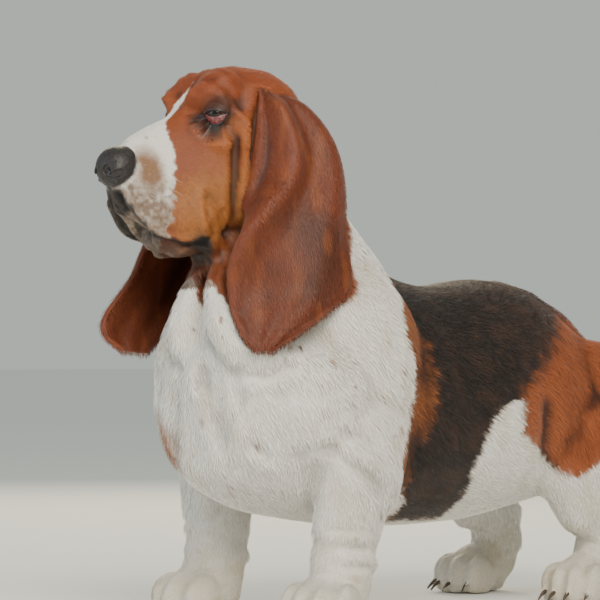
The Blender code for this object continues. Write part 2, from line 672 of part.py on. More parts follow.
def make_nose(into, helpers):
    """The leather of the nose, with its two nostrils and the groove between them."""
    bm = bmesh.new()
    ball(bm, NOSE_PLACE, NOSE_RADII, detail=2)
    ball(bm, NOSE_PLACE + Vector((-0.006, 0, 0.007)), (0.015, 0.0200, 0.0135), detail=2)
    pair(bm, NOSE_PLACE + Vector((0.004, 0.0125, -0.002)), (0.0135, 0.0105, 0.013), detail=2)
    nose = fused("nose", bm, into, 0.0012, 4)
    holes = bmesh.new()
    pair(holes, NOSE_PLACE + Vector((0.0185, 0.0095, -0.0005)), (0.0075, 0.0042, 0.0050), (20, 0, 10))
    pair(holes, NOSE_PLACE + Vector((0.0120, 0.0190, -0.0035)), (0.0090, 0.0045, 0.0024), (0, 0, -50))
    fused_holes = fused("nostrils", holes, helpers, 0.0010, 2)
    settled(nose, (("BOOLEAN", {"operation": "DIFFERENCE", "solver": "MANIFOLD", "object": fused_holes}),))
    places = places_of(nose.data)
    groove = [NOSE_PLACE + Vector((0.023, 0, 0.012)), NOSE_PLACE + Vector((0.024, 0, -0.018))]
    set_places(nose.data, press(places, normals_of(nose.data), groove, 0.0022, 0.0016))
    nose.data.calc_loop_triangles()
    ratio = 700 / len(nose.data.loop_triangles)
    settled(nose, (("DECIMATE", {"ratio": ratio, "use_collapse_triangulate": True}),))
    nose.data.transform(head_frame())
    return turned_out(nose)


def make_eye(name, side, into, grow=0.0):
    centre, _ = eye_of(side)
    bm = bmesh.new()
    bmesh.ops.create_uvsphere(bm, u_segments=18, v_segments=10, radius=EYE_RADIUS + grow,
                              matrix=Matrix.Translation(centre))
    return object_from(name, bm, into)


def lid_cutter(name, side, helpers):
    """The opening between the lids: a drooping almond, wider outside than at the eye."""
    centre, look = eye_of(side)
    up = (Vector((0, 0, 1)) - look * look.z).normalized()
    across = look.cross(up).normalized()  # to the inner corner on the dog's left, outer on the right
    if side < 0:
        across.negate()
    bm = bmesh.new()
    rings = []
    for depth, size in ((EYE_RADIUS * 0.55, 0.86), (EYE_RADIUS * 0.95, 1.0), (EYE_RADIUS * 2.4, 1.55)):
        points = []
        for i in range(16):
            angle = 2 * math.pi * i / 16
            wide = math.cos(angle) * 0.0102
            high = math.sin(angle)
            high = high * (0.0046 if high > 0 else 0.0066) * (1 - 0.35 * abs(math.cos(angle)))
            place = centre + look * depth + across * (wide * size) + up * ((high - 0.0012) * size)
            points.append(bm.verts.new(place))
        rings.append(points)
    loft(bm, rings)
    bmesh.ops.recalc_face_normals(bm, faces=bm.faces)
    return object_from(name, bm, helpers)


def cutter_ball(name, centre, radii, helpers, grow=0.0, lean=(0, 0, 0), matrix=None):
    bm = bmesh.new()
    ball(bm, centre, [radius + grow for radius in radii], lean)
    if matrix:
        bm.transform(matrix)
    return object_from(name, bm, helpers)


def cutter_tube(name, joints, helpers, grow=0.0, matrix=None, count=14):
    bm = bmesh.new()
    tube(bm, joints, count=count, grow=grow)
    if matrix:
        bm.transform(matrix)
    bmesh.ops.recalc_face_normals(bm, faces=bm.faces)
    return object_from(name, bm, helpers)


def foreleg_cutter(side, helpers, grow=0.0):
    return cutter_tube("foreleg_cut", (
        ((0.030, 0.150 * side, 0.330), 0.030, 0.030),
        ((0.020, 0.135 * side, 0.310), 0.070, 0.075),
        ((-0.005, 0.128 * side, 0.255), 0.074, 0.092),
        ((-0.022, 0.120 * side, 0.190), 0.070, 0.086),
        ((-0.034, 0.112 * side, 0.130), 0.062, 0.076),
        ((-0.056, 0.100 * side, 0.080), 0.064, 0.080),
        ((-0.078, 0.094 * side, -0.020), 0.080, 0.100),
    ), helpers, grow)


def hindleg_cutter(side, back, helpers, grow=0.0):
    return cutter_tube("hindleg_cut", (
        ((0.400 + back * 0.2, 0.130 * side, 0.325), 0.040, 0.040),
        ((0.392 + back * 0.2, 0.122 * side, 0.295), 0.076, 0.090),
        ((0.372 + back * 0.3, 0.112 * side, 0.240), 0.082, 0.112),
        ((0.345 + back * 0.5, 0.110 * side, 0.180), 0.080, 0.108),
        ((0.335 + back * 0.8, 0.106 * side, 0.120), 0.076, 0.100),
        ((0.345 + back, 0.100 * side, 0.070), 0.074, 0.090),
        ((0.330 + back, 0.092 * side, -0.020), 0.080, 0.110),
    ), helpers, grow)


def tail_cutter(helpers, grow=0.0):
    joints = [((0.463, 0, 0.2445), 0.010, 0.010), ((0.468, 0, 0.2455), 0.026, 0.028)]
    joints += [(place, across + 0.008, along + 0.008) for place, across, along in TAIL[1:]]
    joints.append(((0.590, 0, 0.450), 0.008, 0.008))
    return cutter_tube("tail_cut", joints, helpers, grow)


def head_cutter(helpers, grow=0.0):
    return cutter_ball("head_cut", (0.070, 0, 0.000), (0.178, 0.150, 0.150), helpers, grow, (0, 28, 0),
                       head_frame())


def neck_cutter(helpers, grow=0.0):
    return cutter_ball("neck_cut", (-0.072, 0, 0.375), (0.128, 0.160, 0.148), helpers, grow, (0, 28, 0))


def jaw_cutter(helpers, grow=0.0):
    """The lower jaw, whose upper edge is the line of the mouth."""
    return cutter_tube("jaw_cut", (
        ((0.150, 0, -0.100), 0.004, 0.003),
        ((0.146, 0, -0.104), 0.018, 0.014),
        ((0.126, 0, -0.112), 0.026, 0.024),
        ((0.104, 0, -0.120), 0.032, 0.028),
        ((0.084, 0, -0.126), 0.037, 0.030),
        ((0.070, 0, -0.130), 0.034, 0.026),
        ((0.062, 0, -0.132), 0.012, 0.008),
    ), helpers, grow, head_frame())


def carved(name, source, into, inside=(), outside=()):
    """A copy of the source kept inside some cutters and outside others."""
    made = mesh_object(name, source.data.copy(), into)
    steps = [("INTERSECT", cutter) for cutter in inside] + [("DIFFERENCE", cutter) for cutter in outside]
    for operation, cutter in steps:
        settled(made, (("BOOLEAN", {"operation": operation, "solver": "MANIFOLD", "object": cutter}),))
    return made


def largest(thing):
    """Keeps only the largest closed surface of the object."""
    bm = bmesh.new()
    bm.from_mesh(thing.data)
    bmesh.ops.remove_doubles(bm, verts=bm.verts, dist=0.00001)
    left = set(bm.verts)
    shells = []
    while left:
        shell, front = set(), [left.pop()]
        while front:
            vert = front.pop()
            shell.add(vert)
            for edge in vert.link_edges:
                other = edge.other_vert(vert)
                if other in left:
                    left.discard(other)
                    front.append(other)
        shells.append(shell)
    shells.sort(key=len)
    for shell in shells[:-1]:
        bmesh.ops.delete(bm, geom=list(shell), context="VERTS")
    bmesh.ops.triangulate(bm, faces=bm.faces)
    bm.to_mesh(thing.data)
    bm.free()
    return thing


def part_flesh(flesh, ears, nose, body, helpers):
    """Parts the flesh into the named pieces, a thin gap between each two."""
    ears_out = [grown("ear_out", ear, helpers, GAP * 1.3) for ear in ears]
    nose_out = grown("nose_out", nose, helpers, GAP * 1.2)
    eyes_out = [make_eye("eye_out", side, helpers, GAP) for side in (1, -1)]
    lids = [lid_cutter("lids", side, helpers) for side in (1, -1)]
    in_head, off_head = head_cutter(helpers), head_cutter(helpers, GAP)
    in_neck, off_neck = neck_cutter(helpers), neck_cutter(helpers, GAP)
    in_jaw, off_jaw = jaw_cutter(helpers), jaw_cutter(helpers, GAP)
    in_tail, off_tail = tail_cutter(helpers), tail_cutter(helpers, GAP)
    pieces = [
        carved("head", flesh, body, [in_head], [off_jaw, nose_out, *eyes_out, *lids, *ears_out]),
        carved("lower_jaw", flesh, body, [in_head, in_jaw]),
        carved("neck", flesh, body, [in_neck], [off_head, *ears_out]),
    ]
    outside = [off_head, off_neck]
    legs = (
        ("foreleg_left", foreleg_cutter, (-1,), FORE_PAW, 0.0),
        ("foreleg_right", foreleg_cutter, (1,), FORE_PAW, 0.0),
        ("hindleg_left", hindleg_cutter, (-1, 0.0), HIND_PAW, 0.0),
        ("hindleg_right", hindleg_cutter, (1, HIND_STAGGER), HIND_PAW, HIND_STAGGER),
    )
    off_legs = []
    for name, cutter, where, paw, back in legs:
        leg = carved(name, flesh, body, [cutter(*where, helpers)], outside + ears_out)
        nails = object_from("claws", claws(paw, where[0], back), helpers)
        settled(leg, (("BOOLEAN", {"operation": "UNION", "solver": "MANIFOLD", "object": nails}),))
        off_legs.append(cutter(*where, helpers, GAP))
        pieces.append(leg)
    pieces.append(carved("tail", flesh, body, [in_tail], []))
    pieces.append(carved("torso", flesh, body, [], outside + off_legs + [off_tail] + ears_out))
    return [largest(piece) for piece in pieces]


def dress(things):
    """Gives every piece a material of its own, and moves it to the shared origin."""
    colours = {"head": (TAN, 0.7), "ear": (BROWN, 0.7), "nose": (GREY, 0.4), "eye": (BLACK, 0.1),
               "lower": (WHITE, 0.7), "torso": (WHITE, 0.7), "neck": (WHITE, 0.7)}
    for thing in things:
        colour, roughness = colours.get(thing.name.split("_")[0], (WHITE, 0.7))
        thing.data.materials.clear()
        thing.data.materials.append(coat(thing.name + "_surface", colour, roughness))
        thing.data.transform(Matrix.Translation(MOVE))
        thing.data.update()


def main():
    clear_scene()
    body = collection("basset_hound")
    helpers = collection("helpers", hidden=True)
    flesh = make_flesh(helpers)
    ears = [make_ear("ear_left", EAR_LEFT, -1, flesh, body), make_ear("ear_right", EAR_RIGHT, 1, flesh, body)]
    nose = make_nose(body, helpers)
    eyes = [make_eye("eye_left", 1, body), make_eye("eye_right", -1, body)]
    reduce(flesh, FLESH_TRIANGLES)
    pieces = part_flesh(flesh, ears, nose, body, helpers)
    for thing in list(helpers.objects):
        bpy.data.objects.remove(thing)
    dress(pieces + ears + [nose] + eyes)


main()
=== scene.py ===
import math

import bmesh
import bpy
import numpy as np
from mathutils import Matrix, Vector
from mathutils.bvhtree import BVHTree


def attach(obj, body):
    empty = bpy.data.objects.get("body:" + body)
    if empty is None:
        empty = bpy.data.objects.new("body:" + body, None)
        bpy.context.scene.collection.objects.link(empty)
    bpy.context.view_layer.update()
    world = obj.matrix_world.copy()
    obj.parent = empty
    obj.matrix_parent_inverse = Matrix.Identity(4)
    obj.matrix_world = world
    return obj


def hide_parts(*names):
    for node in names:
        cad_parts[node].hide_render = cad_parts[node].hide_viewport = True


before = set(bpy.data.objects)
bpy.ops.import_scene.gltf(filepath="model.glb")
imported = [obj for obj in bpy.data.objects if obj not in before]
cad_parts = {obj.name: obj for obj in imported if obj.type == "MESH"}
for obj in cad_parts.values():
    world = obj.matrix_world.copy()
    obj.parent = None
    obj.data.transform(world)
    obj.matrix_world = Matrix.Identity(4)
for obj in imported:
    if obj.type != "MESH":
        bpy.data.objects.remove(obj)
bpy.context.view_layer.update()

# A standing basset hound. Metres, nose to -X, the dog's left to -Y.
head = {"place": (-0.259, 0.0, 0.499), "turn": 12, "pitch": 11}  # degrees to its right, and nose down
eyes = {"place": (0.0535, 0.0365, 0.0155), "radius": 0.012, "outward": 38, "iris": 34, "pupil": 13,
        "inner": 0.0108, "outer": 0.0098, "above": 0.004, "below": 0.008, "lid": 0.0019,
        "socket": 0.0026, "crease": 0.0009}
nose = {"place": (0.1555, 0.0, -0.0205), "voxel": 0.0009}
camera = {"place": (-2.3379, -2.0841, 0.262), "look": (0.71914, 0.69451, 0.020404), "lens": 176.4}


def onHead(x, y, z):
    return headFrame @ Vector((x, y, z))


def frameOfHead():
    turn, pitch = math.radians(head["turn"]), math.radians(head["pitch"])
    forward = Vector((-math.cos(turn), math.sin(turn), 0))
    left = Vector((-math.sin(turn), -math.cos(turn), 0))
    ahead = forward * math.cos(pitch) - Vector((0, 0, math.sin(pitch)))
    top = forward * math.sin(pitch) + Vector((0, 0, math.cos(pitch)))
    return Matrix.Translation(head["place"]) @ Matrix((ahead, left, top)).transposed().to_4x4()


headFrame = frameOfHead()
fromHead, intoHead = np.array(headFrame), np.array(headFrame.inverted())


def inHead(points):
    return points @ intoHead[:3, :3].T + intoHead[:3, 3]


def outOfHead(points):
    return points @ fromHead[:3, :3].T + fromHead[:3, 3]


def chooseOnly(piece):
    bpy.ops.object.select_all(action="DESELECT")
    piece.select_set(True)
    bpy.context.view_layer.objects.active = piece
    return piece


def apply(piece, kind, **settings):  # one modifier, applied at once
    chooseOnly(piece)
    modifier = piece.modifiers.new(kind.title(), kind)
    for key, value in settings.items():
        setattr(modifier, key, value)
    bpy.ops.object.modifier_apply(modifier=modifier.name)


def linked(name, data):
    piece = bpy.data.objects.new(name, data)
    bpy.context.scene.collection.objects.link(piece)
    return piece


def joined(pieces, name):
    bpy.ops.object.select_all(action="DESELECT")
    for piece in pieces:
        piece.select_set(True)
    bpy.context.view_layer.objects.active = pieces[0]
    bpy.ops.object.join()
    pieces[0].name = pieces[0].data.name = name
    return pieces[0]


def smoothShaded(piece):
    chooseOnly(piece)
    bpy.ops.object.shade_smooth()
    return piece


def facedOut(piece):  # every face turned outward
    chooseOnly(piece)
    bpy.ops.object.mode_set(mode="EDIT")
    bpy.ops.mesh.select_all(action="SELECT")
    bpy.ops.mesh.normals_make_consistent(inside=False)
    bpy.ops.object.mode_set(mode="OBJECT")
    return piece


def placesOf(piece):
    places = np.empty(len(piece.data.vertices) * 3)
    piece.data.vertices.foreach_get("co", places)
    return places.reshape(-1, 3)


def normalsOf(piece):
    normals = np.empty(len(piece.data.vertices) * 3)
    piece.data.vertices.foreach_get("normal", normals)
    return normals.reshape(-1, 3)


def setPlaces(piece, places):
    piece.data.vertices.foreach_set("co", places.ravel())
    piece.data.update()


def ramp(value, low, high):  # 0 below low, 1 above high, smooth between
    t = np.clip((value - low) / (high - low), 0, 1)
    return t * t * (3 - 2 * t)


def unit(vectors):
    return vectors / np.maximum(np.linalg.norm(vectors, axis=1), 1e-9)[:, None]


def mottle(points, size, seed):  # smooth noise from -1 to 1, with blobs of about the size
    lattice = np.random.default_rng(seed).random((24, 24, 24)) * 2 - 1
    spot = points / size + 1000
    low = np.floor(spot).astype(int)
    t = spot - low
    t = t * t * (3 - 2 * t)
    total = 0
    for corner in range(8):
        step = np.array([corner & 1, corner >> 1 & 1, corner >> 2 & 1])
        share = np.prod(np.where(step, t, 1 - t), axis=1)
        total = total + share * lattice[tuple(((low + step) % 24).T)]
    return total


def farFrom(points, place):  # distance to one point
    return np.linalg.norm(points - np.array(place), axis=1)


def awayFrom(points, line):  # distance to a line of points
    line = np.array(line, float)
    nearest = np.full(len(points), 9.0)
    for start, end in zip(line, line[1:]):
        run = end - start
        t = np.clip(((points - start) @ run) / (run @ run), 0, 1)
        nearest = np.minimum(nearest, np.linalg.norm(points - start - t[:, None] * run, axis=1))
    return nearest


def rounded(line, steps=5):  # a smooth line through the points
    line = [Vector(point) for point in line]
    padded = [line[0] * 2 - line[1], *line, line[-1] * 2 - line[-2]]
    out = []
    for a, b, c, d in zip(padded, padded[1:], padded[2:], padded[3:]):
        for i in range(steps):
            t = i / steps
            out.append((b * 2 + (c - a) * t + (a * 2 - b * 5 + c * 4 - d) * t * t
                        + (b * 3 - a - c * 3 + d) * t * t * t) / 2)
    return out + [line[-1]]


def linear(code):
    parts = [int(code[i:i + 2], 16) / 255 for i in (1, 3, 5)]
    return [p / 12.92 if p <= 0.04045 else ((p + 0.055) / 1.055) ** 2.4 for p in parts]


def addNode(tree, kind, settings=None, **links):
    made = tree.nodes.new(kind)
    for key, value in (settings or {}).items():
        if key in made.inputs:
            made.inputs[key].default_value = value
        else:
            setattr(made, key, value)
    for socket, source in links.items():
        tree.links.new(source, made.inputs[socket.replace("_", " ")])
    return made


def newMaterial(name, **sockets):
    material = bpy.data.materials.new(name)
    material.use_nodes = True
    shader = material.node_tree.nodes["Principled BSDF"]
    for key, value in sockets.items():
        shader.inputs[key.replace("_", " ")].default_value = value
    return material, material.node_tree, shader


# The skin: one surface over all the flesh, with the folds of a basset's loose skin
skin = {
    "nodes": ("head", "lower_jaw", "neck", "torso", "tail", "foreleg_left", "foreleg_right",
              "hindleg_left", "hindleg_right", "nose", "eye_left", "eye_right"),
    "voxel": 0.0024, "rounds": 46, "closing": 0.0006, "triangles": 106000,
    "waves": 0.0006, "ripples": 0.00025,
}

# Depth, width, sides and line of each fold: on the head in its own frame
headFolds = (
    (0.003, 0.0042, "both", ((0.048, 0.0533, 0.0149), (0.0471, 0.0545, -0.003), (0.0509, 0.0535, -0.022),
                              (0.0562, 0.0525, -0.046), (0.06, 0.05, -0.07), (0.061, 0.046, -0.092))),
    (0.0034, 0.0048, "both", ((0.005, 0.0466, 0.0291), (0.0172, 0.0528, 0.0125), (0.029, 0.0575, -0.0109),
                              (0.0372, 0.0594, -0.0346), (0.0448, 0.0585, -0.0581), (0.0515, 0.053, -0.08))),
    (-0.0022, 0.006, "both", ((0.0337, 0.0509, 0.0071), (0.0415, 0.0583, -0.0239), (0.0465, 0.0573, -0.0528),
                               (0.0511, 0.0519, -0.0767))),
    (-0.0013, 0.005, "both", ((0.0745, 0.017, 0.04), (0.067, 0.028, 0.047), (0.0618, 0.0368, 0.0468),
                               (0.056, 0.0468, 0.035), (0.05, 0.0515, 0.024), (0.045, 0.0545, 0.01))),
    (0.001, 0.0042, "both", ((0.07, 0.02, 0.051), (0.056, 0.036, 0.053), (0.048, 0.046, 0.038),
                              (0.041, 0.052, 0.02))),
    (0.0008, 0.004, "both", ((0.06, 0.006, 0.054), (0.05, 0.022, 0.059), (0.04, 0.036, 0.054),
                              (0.033, 0.046, 0.04))),
    (0.001, 0.0034, "both", ((0.04, 0.01, 0.062), (0.028, 0.026, 0.061), (0.02, 0.04, 0.052))),
    (0.0014, 0.0036, "both", ((0.089, 0.0492, -0.062), (0.0905, 0.05, -0.072), (0.0905, 0.0495, -0.085),
                              (0.086, 0.044, -0.099))),
    (-0.0012, 0.004, "both", ((0.096, 0.049, -0.062), (0.0975, 0.049, -0.074), (0.0965, 0.047, -0.088))),
    (0.0018, 0.004, "both", ((0.072, 0.048, -0.08), (0.074, 0.044, -0.1038), (0.078, 0.042, -0.1165),
                              (0.0811, 0.044, -0.131))),
    (0.004, 0.0034, "both", ((0.165, 0.009, -0.0475), (0.1625, 0.013, -0.059), (0.156, 0.016, -0.072),
                              (0.148, 0.019, -0.083), (0.138, 0.022, -0.093), (0.1265, 0.026, -0.1),
                              (0.11, 0.031, -0.105), (0.0956, 0.038, -0.1045))),
    (-0.0016, 0.0042, "both", ((0.16, 0.018, -0.056), (0.154, 0.022, -0.069), (0.145, 0.027, -0.081),
                               (0.133, 0.031, -0.091), (0.118, 0.035, -0.097), (0.102, 0.039, -0.099))),
    (0.0022, 0.0022, "one", ((0.169, 0.0, -0.04), (0.166, 0.0, -0.052), (0.16, 0.0, -0.068))),
    (0.001, 0.004, "one", ((0.08, 0.0, 0.027), (0.062, 0.0, 0.042), (0.04, 0.0, 0.06),
                             (0.01, 0.0, 0.062))),
    (0.0014, 0.004, "both", ((0.1, 0.03, 0.006), (0.086, 0.034, 0.01), (0.076, 0.034, 0.016))),
    (0.0012, 0.0032, "both", ((0.07, 0.047, -0.006), (0.06, 0.053, -0.011), (0.052, 0.055, -0.01))),
)

# On the body, in the shared frame; left is the dog's left, which the camera sees
bodyFolds = (
    (0.0075, 0.005, "one", ((-0.308, -0.008, 0.35), (-0.336, -0.015, 0.318), (-0.346, -0.018, 0.29),
                             (-0.346, -0.019, 0.266), (-0.338, -0.018, 0.236))),
    (0.0048, 0.005, "left", ((-0.35, -0.026, 0.262), (-0.345, -0.044, 0.251), (-0.33, -0.064, 0.247),
                              (-0.308, -0.084, 0.249), (-0.29, -0.096, 0.258))),
    (0.0046, 0.005, "one", ((-0.346, -0.01, 0.264), (-0.344, 0.008, 0.256), (-0.338, 0.028, 0.26),
                             (-0.326, 0.042, 0.274))),
    (0.0032, 0.007, "both", ((-0.338, 0.017, 0.254), (-0.337, 0.022, 0.223), (-0.329, 0.03, 0.19),
                              (-0.315, 0.036, 0.16))),
    (0.003, 0.0065, "both", ((-0.327, 0.052, 0.252), (-0.326, 0.06, 0.223), (-0.319, 0.068, 0.192),
                              (-0.302, 0.074, 0.166))),
    (0.0016, 0.008, "left", ((-0.309, -0.084, 0.236), (-0.288, -0.104, 0.229), (-0.262, -0.116, 0.23),
                              (-0.23, -0.121, 0.239))),
    (0.0024, 0.006, "both", ((-0.315, 0.063, 0.178), (-0.298, 0.078, 0.167), (-0.274, 0.096, 0.17),
                              (-0.25, 0.11, 0.18))),
    (0.004, 0.006, "both", ((-0.256, 0.112, 0.176), (-0.236, 0.124, 0.16), (-0.214, 0.129, 0.146),
                              (-0.199, 0.128, 0.13), (-0.19, 0.124, 0.106))),
    (0.0022, 0.006, "both", ((-0.24, 0.11, 0.196), (-0.214, 0.126, 0.184), (-0.188, 0.13, 0.16),
                              (-0.176, 0.124, 0.134))),
    (0.0026, 0.004, "both", ((-0.262, 0.088, 0.084), (-0.245, 0.11, 0.08), (-0.215, 0.12, 0.078),
                              (-0.188, 0.108, 0.082))),
    (0.0024, 0.0036, "both", ((-0.264, 0.088, 0.066), (-0.246, 0.112, 0.062), (-0.215, 0.121, 0.06),
                              (-0.19, 0.108, 0.063))),
    (0.002, 0.0036, "both", ((-0.262, 0.08, 0.1), (-0.24, 0.112, 0.097), (-0.208, 0.122, 0.096))),
    (0.0024, 0.004, "both", ((0.168, 0.082, 0.066), (0.184, 0.112, 0.063), (0.212, 0.112, 0.062))),
    (0.0022, 0.004, "both", ((0.172, 0.082, 0.086), (0.188, 0.114, 0.083), (0.214, 0.11, 0.084))),
    (0.0016, 0.01, "both", ((0.072, 0.112, 0.218), (0.08, 0.118, 0.178), (0.096, 0.114, 0.14))),
    (0.0012, 0.009, "both", ((0.18, 0.11, 0.15), (0.2, 0.104, 0.128), (0.216, 0.1, 0.104))),
    (0.003, 0.014, "both", ((-0.092, 0.1, 0.33), (-0.104, 0.122, 0.28), (-0.112, 0.128, 0.22),
                              (-0.126, 0.122, 0.17))),
    (0.0014, 0.005, "left", ((-0.19, -0.06, 0.372), (-0.16, -0.078, 0.345), (-0.15, -0.092, 0.318))),
    (0.0014, 0.005, "left", ((-0.232, -0.09, 0.305), (-0.2, -0.102, 0.3), (-0.172, -0.106, 0.31))),
)

# Soft swellings of dewlap, shoulder and flank: place, push along the normal, radius
swellings = (
    ((-0.336, -0.044, 0.275), 0.0045, 0.03), ((-0.34, 0.01, 0.287), 0.0035, 0.026),
    ((-0.31, -0.076, 0.268), 0.004, 0.026),
    ((-0.215, -0.118, 0.205), 0.003, 0.045), ((-0.215, 0.118, 0.205), 0.003, 0.045),
    ((0.02, -0.118, 0.215), 0.002, 0.06), ((0.02, 0.118, 0.215), 0.002, 0.06),
)


def press(points, normals, where, line, width, depth):  # a groove with soft lips, or a ridge below 0
    line = np.array(rounded(line))
    reach = 5 * width
    near = np.nonzero(np.all((where > line.min(0) - reach) & (where < line.max(0) + reach), axis=1))[0]
    away = awayFrom(where[near], line)
    amount = np.exp(-(away / width) ** 2) - 0.35 * np.exp(-((away - 2.2 * width) / (1.2 * width)) ** 2)
    points[near] -= normals[near] * (depth * amount)[:, None]


def fleshCopy():
    copies = []
    for name in skin["nodes"]:
        copy = linked("flesh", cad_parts[name].data.copy())
        chooseOnly(copy)
        bpy.ops.object.mode_set(mode="EDIT")
        bpy.ops.mesh.select_all(action="SELECT")
        bpy.ops.mesh.remove_doubles(threshold=0.00001)
        bpy.ops.object.mode_set(mode="OBJECT")
        setPlaces(copy, placesOf(copy) + normalsOf(copy) * skin["closing"])  # closes the cuts
        copies.append(copy)
    return joined(copies, "skin")


def smoothing(points):  # how far the plain solids' facets are smoothed away, 1 on the trunk
    local = inHead(points)
    share = np.full(len(points), 1.0)
    share = np.minimum(share, 0.25 + ramp(points[:, 2], 0.1, 0.2))
    share = np.where(points[:, 2] < 0.055, 0.1, share)
    throat = awayFrom(points, [(-0.33, -0.02, 0.34), (-0.33, -0.03, 0.27)])
    share = np.minimum(share, 0.16 + ramp(throat, 0.05, 0.1))
    share = np.minimum(share, 0.3 + ramp(awayFrom(points, [(0.27, 0, 0.25), (0.4, 0, 0.3)]), 0.05, 0.1))
    face = ramp(farFrom(local, (0.07, 0, -0.03)), 0.09, 0.15)
    share = np.minimum(share, 0.13 + 0.8 * face)
    brow = 1 - ramp(farFrom(local, (0.058, -0.036, 0.046)), 0.016, 0.028)
    return np.maximum(share, 0.8 * brow)  # the far brow stands against the background


def coatDepth(points):
    face = ramp(farFrom(inHead(points), (0.07, 0, -0.03)), 0.1, 0.17)
    return 0.001 + (0.0016 * face) * ramp(points[:, 2], 0.03, 0.12)


def weighted(piece, name, weights):
    group = piece.vertex_groups.new(name=name)
    steps = np.round(np.clip(weights, 0, 1) * 40).astype(int)
    for step in np.unique(steps):
        group.add(np.nonzero(steps == step)[0].tolist(), step / 40, "REPLACE")


def makeFlesh():
    flesh = fleshCopy()
    apply(flesh, "REMESH", mode="VOXEL", voxel_size=skin["voxel"])
    weighted(flesh, "plain", smoothing(placesOf(flesh)))
    apply(flesh, "SMOOTH", factor=0.5, iterations=skin["rounds"], vertex_group="plain")
    flesh.vertex_groups.clear()
    points = placesOf(flesh)
    local = inHead(points)
    for folds, where in ((headFolds, local), (bodyFolds, points.copy())):
        for depth, width, sides, line in folds:
            normals = normalsOf(flesh)
            for side in (1, -1) if sides == "both" else (1,):
                press(points, normals, where, [(x, y * side, z) for x, y, z in line], width, depth)
            setPlaces(flesh, points)
    normals = normalsOf(flesh)
    for centre, push, radius in swellings:
        off = farFrom(points, centre) / radius
        points = points + normals * (push * np.clip(1 - off**2, 0, None) ** 2)[:, None]
    face = 1 - ramp(farFrom(local, (0.07, 0, 0)), 0.09, 0.16)
    loose = ramp(points[:, 2], 0.02, 0.08) * (1 - 0.6 * face)
    wave = mottle(points * np.array([1, 1, 0.6]), 0.034, 3) * skin["waves"]
    wave = wave + mottle(points, 0.013, 4) * skin["ripples"]
    points = points + normals * (wave * loose - coatDepth(points) - skin["closing"])[:, None]
    points[:, 2] = np.maximum(points[:, 2], 0.0008)
    setPlaces(flesh, points)
    return flesh


def thin(flesh, triangles):
    points = placesOf(flesh)
    local = inHead(points)
    near = 1 - ramp(farFrom(local, (0.09, 0, -0.03)), 0.08, 0.13)
    dewlap = 1 - ramp(awayFrom(points, [(-0.34, -0.02, 0.34), (-0.34, -0.03, 0.26)]), 0.03, 0.07)
    paws = 1 - ramp(points[:, 2], 0.03, 0.06)
    weighted(flesh, "keep", np.maximum(0.12, np.maximum(0.8 * near, 0.45 * np.maximum(dewlap, paws))))
    flesh.data.calc_loop_triangles()
    apply(flesh, "DECIMATE", ratio=triangles / len(flesh.data.loop_triangles), vertex_group="keep",
          invert_vertex_group=True, vertex_group_factor=1.0, use_collapse_triangulate=True)
    flesh.vertex_groups.clear()


# The ears: rows down each ear of front edge, back edge and how far the middle stands out, as in the solids
ears = {
    "left": (
        ((-0.272, -0.04, 0.524), (-0.25, -0.042, 0.525), 0.002),
        ((-0.288, -0.056, 0.513), (-0.232, -0.057, 0.514), 0.005),
        ((-0.294, -0.067, 0.488), (-0.212, -0.068, 0.49), 0.009),
        ((-0.295, -0.07, 0.462), (-0.204, -0.08, 0.461), 0.01),
        ((-0.299, -0.069, 0.437), (-0.207, -0.09, 0.431), 0.011),
        ((-0.315, -0.067, 0.411), (-0.211, -0.098, 0.4), 0.011),
        ((-0.33, -0.061, 0.386), (-0.214, -0.104, 0.371), 0.01),
        ((-0.34, -0.057, 0.36), (-0.218, -0.109, 0.346), 0.009),
        ((-0.34, -0.056, 0.334), (-0.229, -0.112, 0.324), 0.007),
        ((-0.339, -0.06, 0.306), (-0.26, -0.11, 0.304), 0.006),
        ((-0.333, -0.068, 0.284), (-0.292, -0.101, 0.284), 0.004),
        ((-0.323, -0.077, 0.27), (-0.312, -0.089, 0.27), 0.001),
    ),
    "right": (
        ((-0.25, 0.044, 0.524), (-0.228, 0.04, 0.525), 0.002),
        ((-0.264, 0.057, 0.513), (-0.209, 0.047, 0.514), 0.005),
        ((-0.274, 0.071, 0.488), (-0.194, 0.056, 0.49), 0.009),
        ((-0.282, 0.08, 0.46), (-0.191, 0.067, 0.461), 0.01),
        ((-0.291, 0.085, 0.434), (-0.195, 0.076, 0.431), 0.011),
        ((-0.295, 0.086, 0.408), (-0.202, 0.08, 0.4), 0.011),
        ((-0.308, 0.088, 0.378), (-0.213, 0.085, 0.37), 0.01),
        ((-0.325, 0.09, 0.35), (-0.23, 0.088, 0.342), 0.009),
        ((-0.352, 0.091, 0.322), (-0.249, 0.09, 0.316), 0.007),
        ((-0.37, 0.091, 0.301), (-0.27, 0.091, 0.296), 0.005),
        ((-0.369, 0.09, 0.285), (-0.288, 0.091, 0.28), 0.002),
        ((-0.349, 0.088, 0.271), (-0.309, 0.09, 0.268), 0.001),
    ),
    "margin": (  # where the front margin joins the cheek, in the head's frame: share of the way down, X, Y, Z
        (0.00, 0.004, 0.036, 0.036), (0.09, 0.01, 0.046, 0.025), (0.18, 0.021, 0.051, 0.004),
        (0.27, 0.031, 0.053, -0.02), (0.36, 0.04, 0.053, -0.046), (0.46, 0.054, 0.048, -0.08),
    ),
    "across": 30, "down": 70, "thickness": 0.0036, "folds": 0.0062, "clear": 0.003,
    "push": 0.0015, "pushes": 40,  # steps that lift an ear off the flesh
}


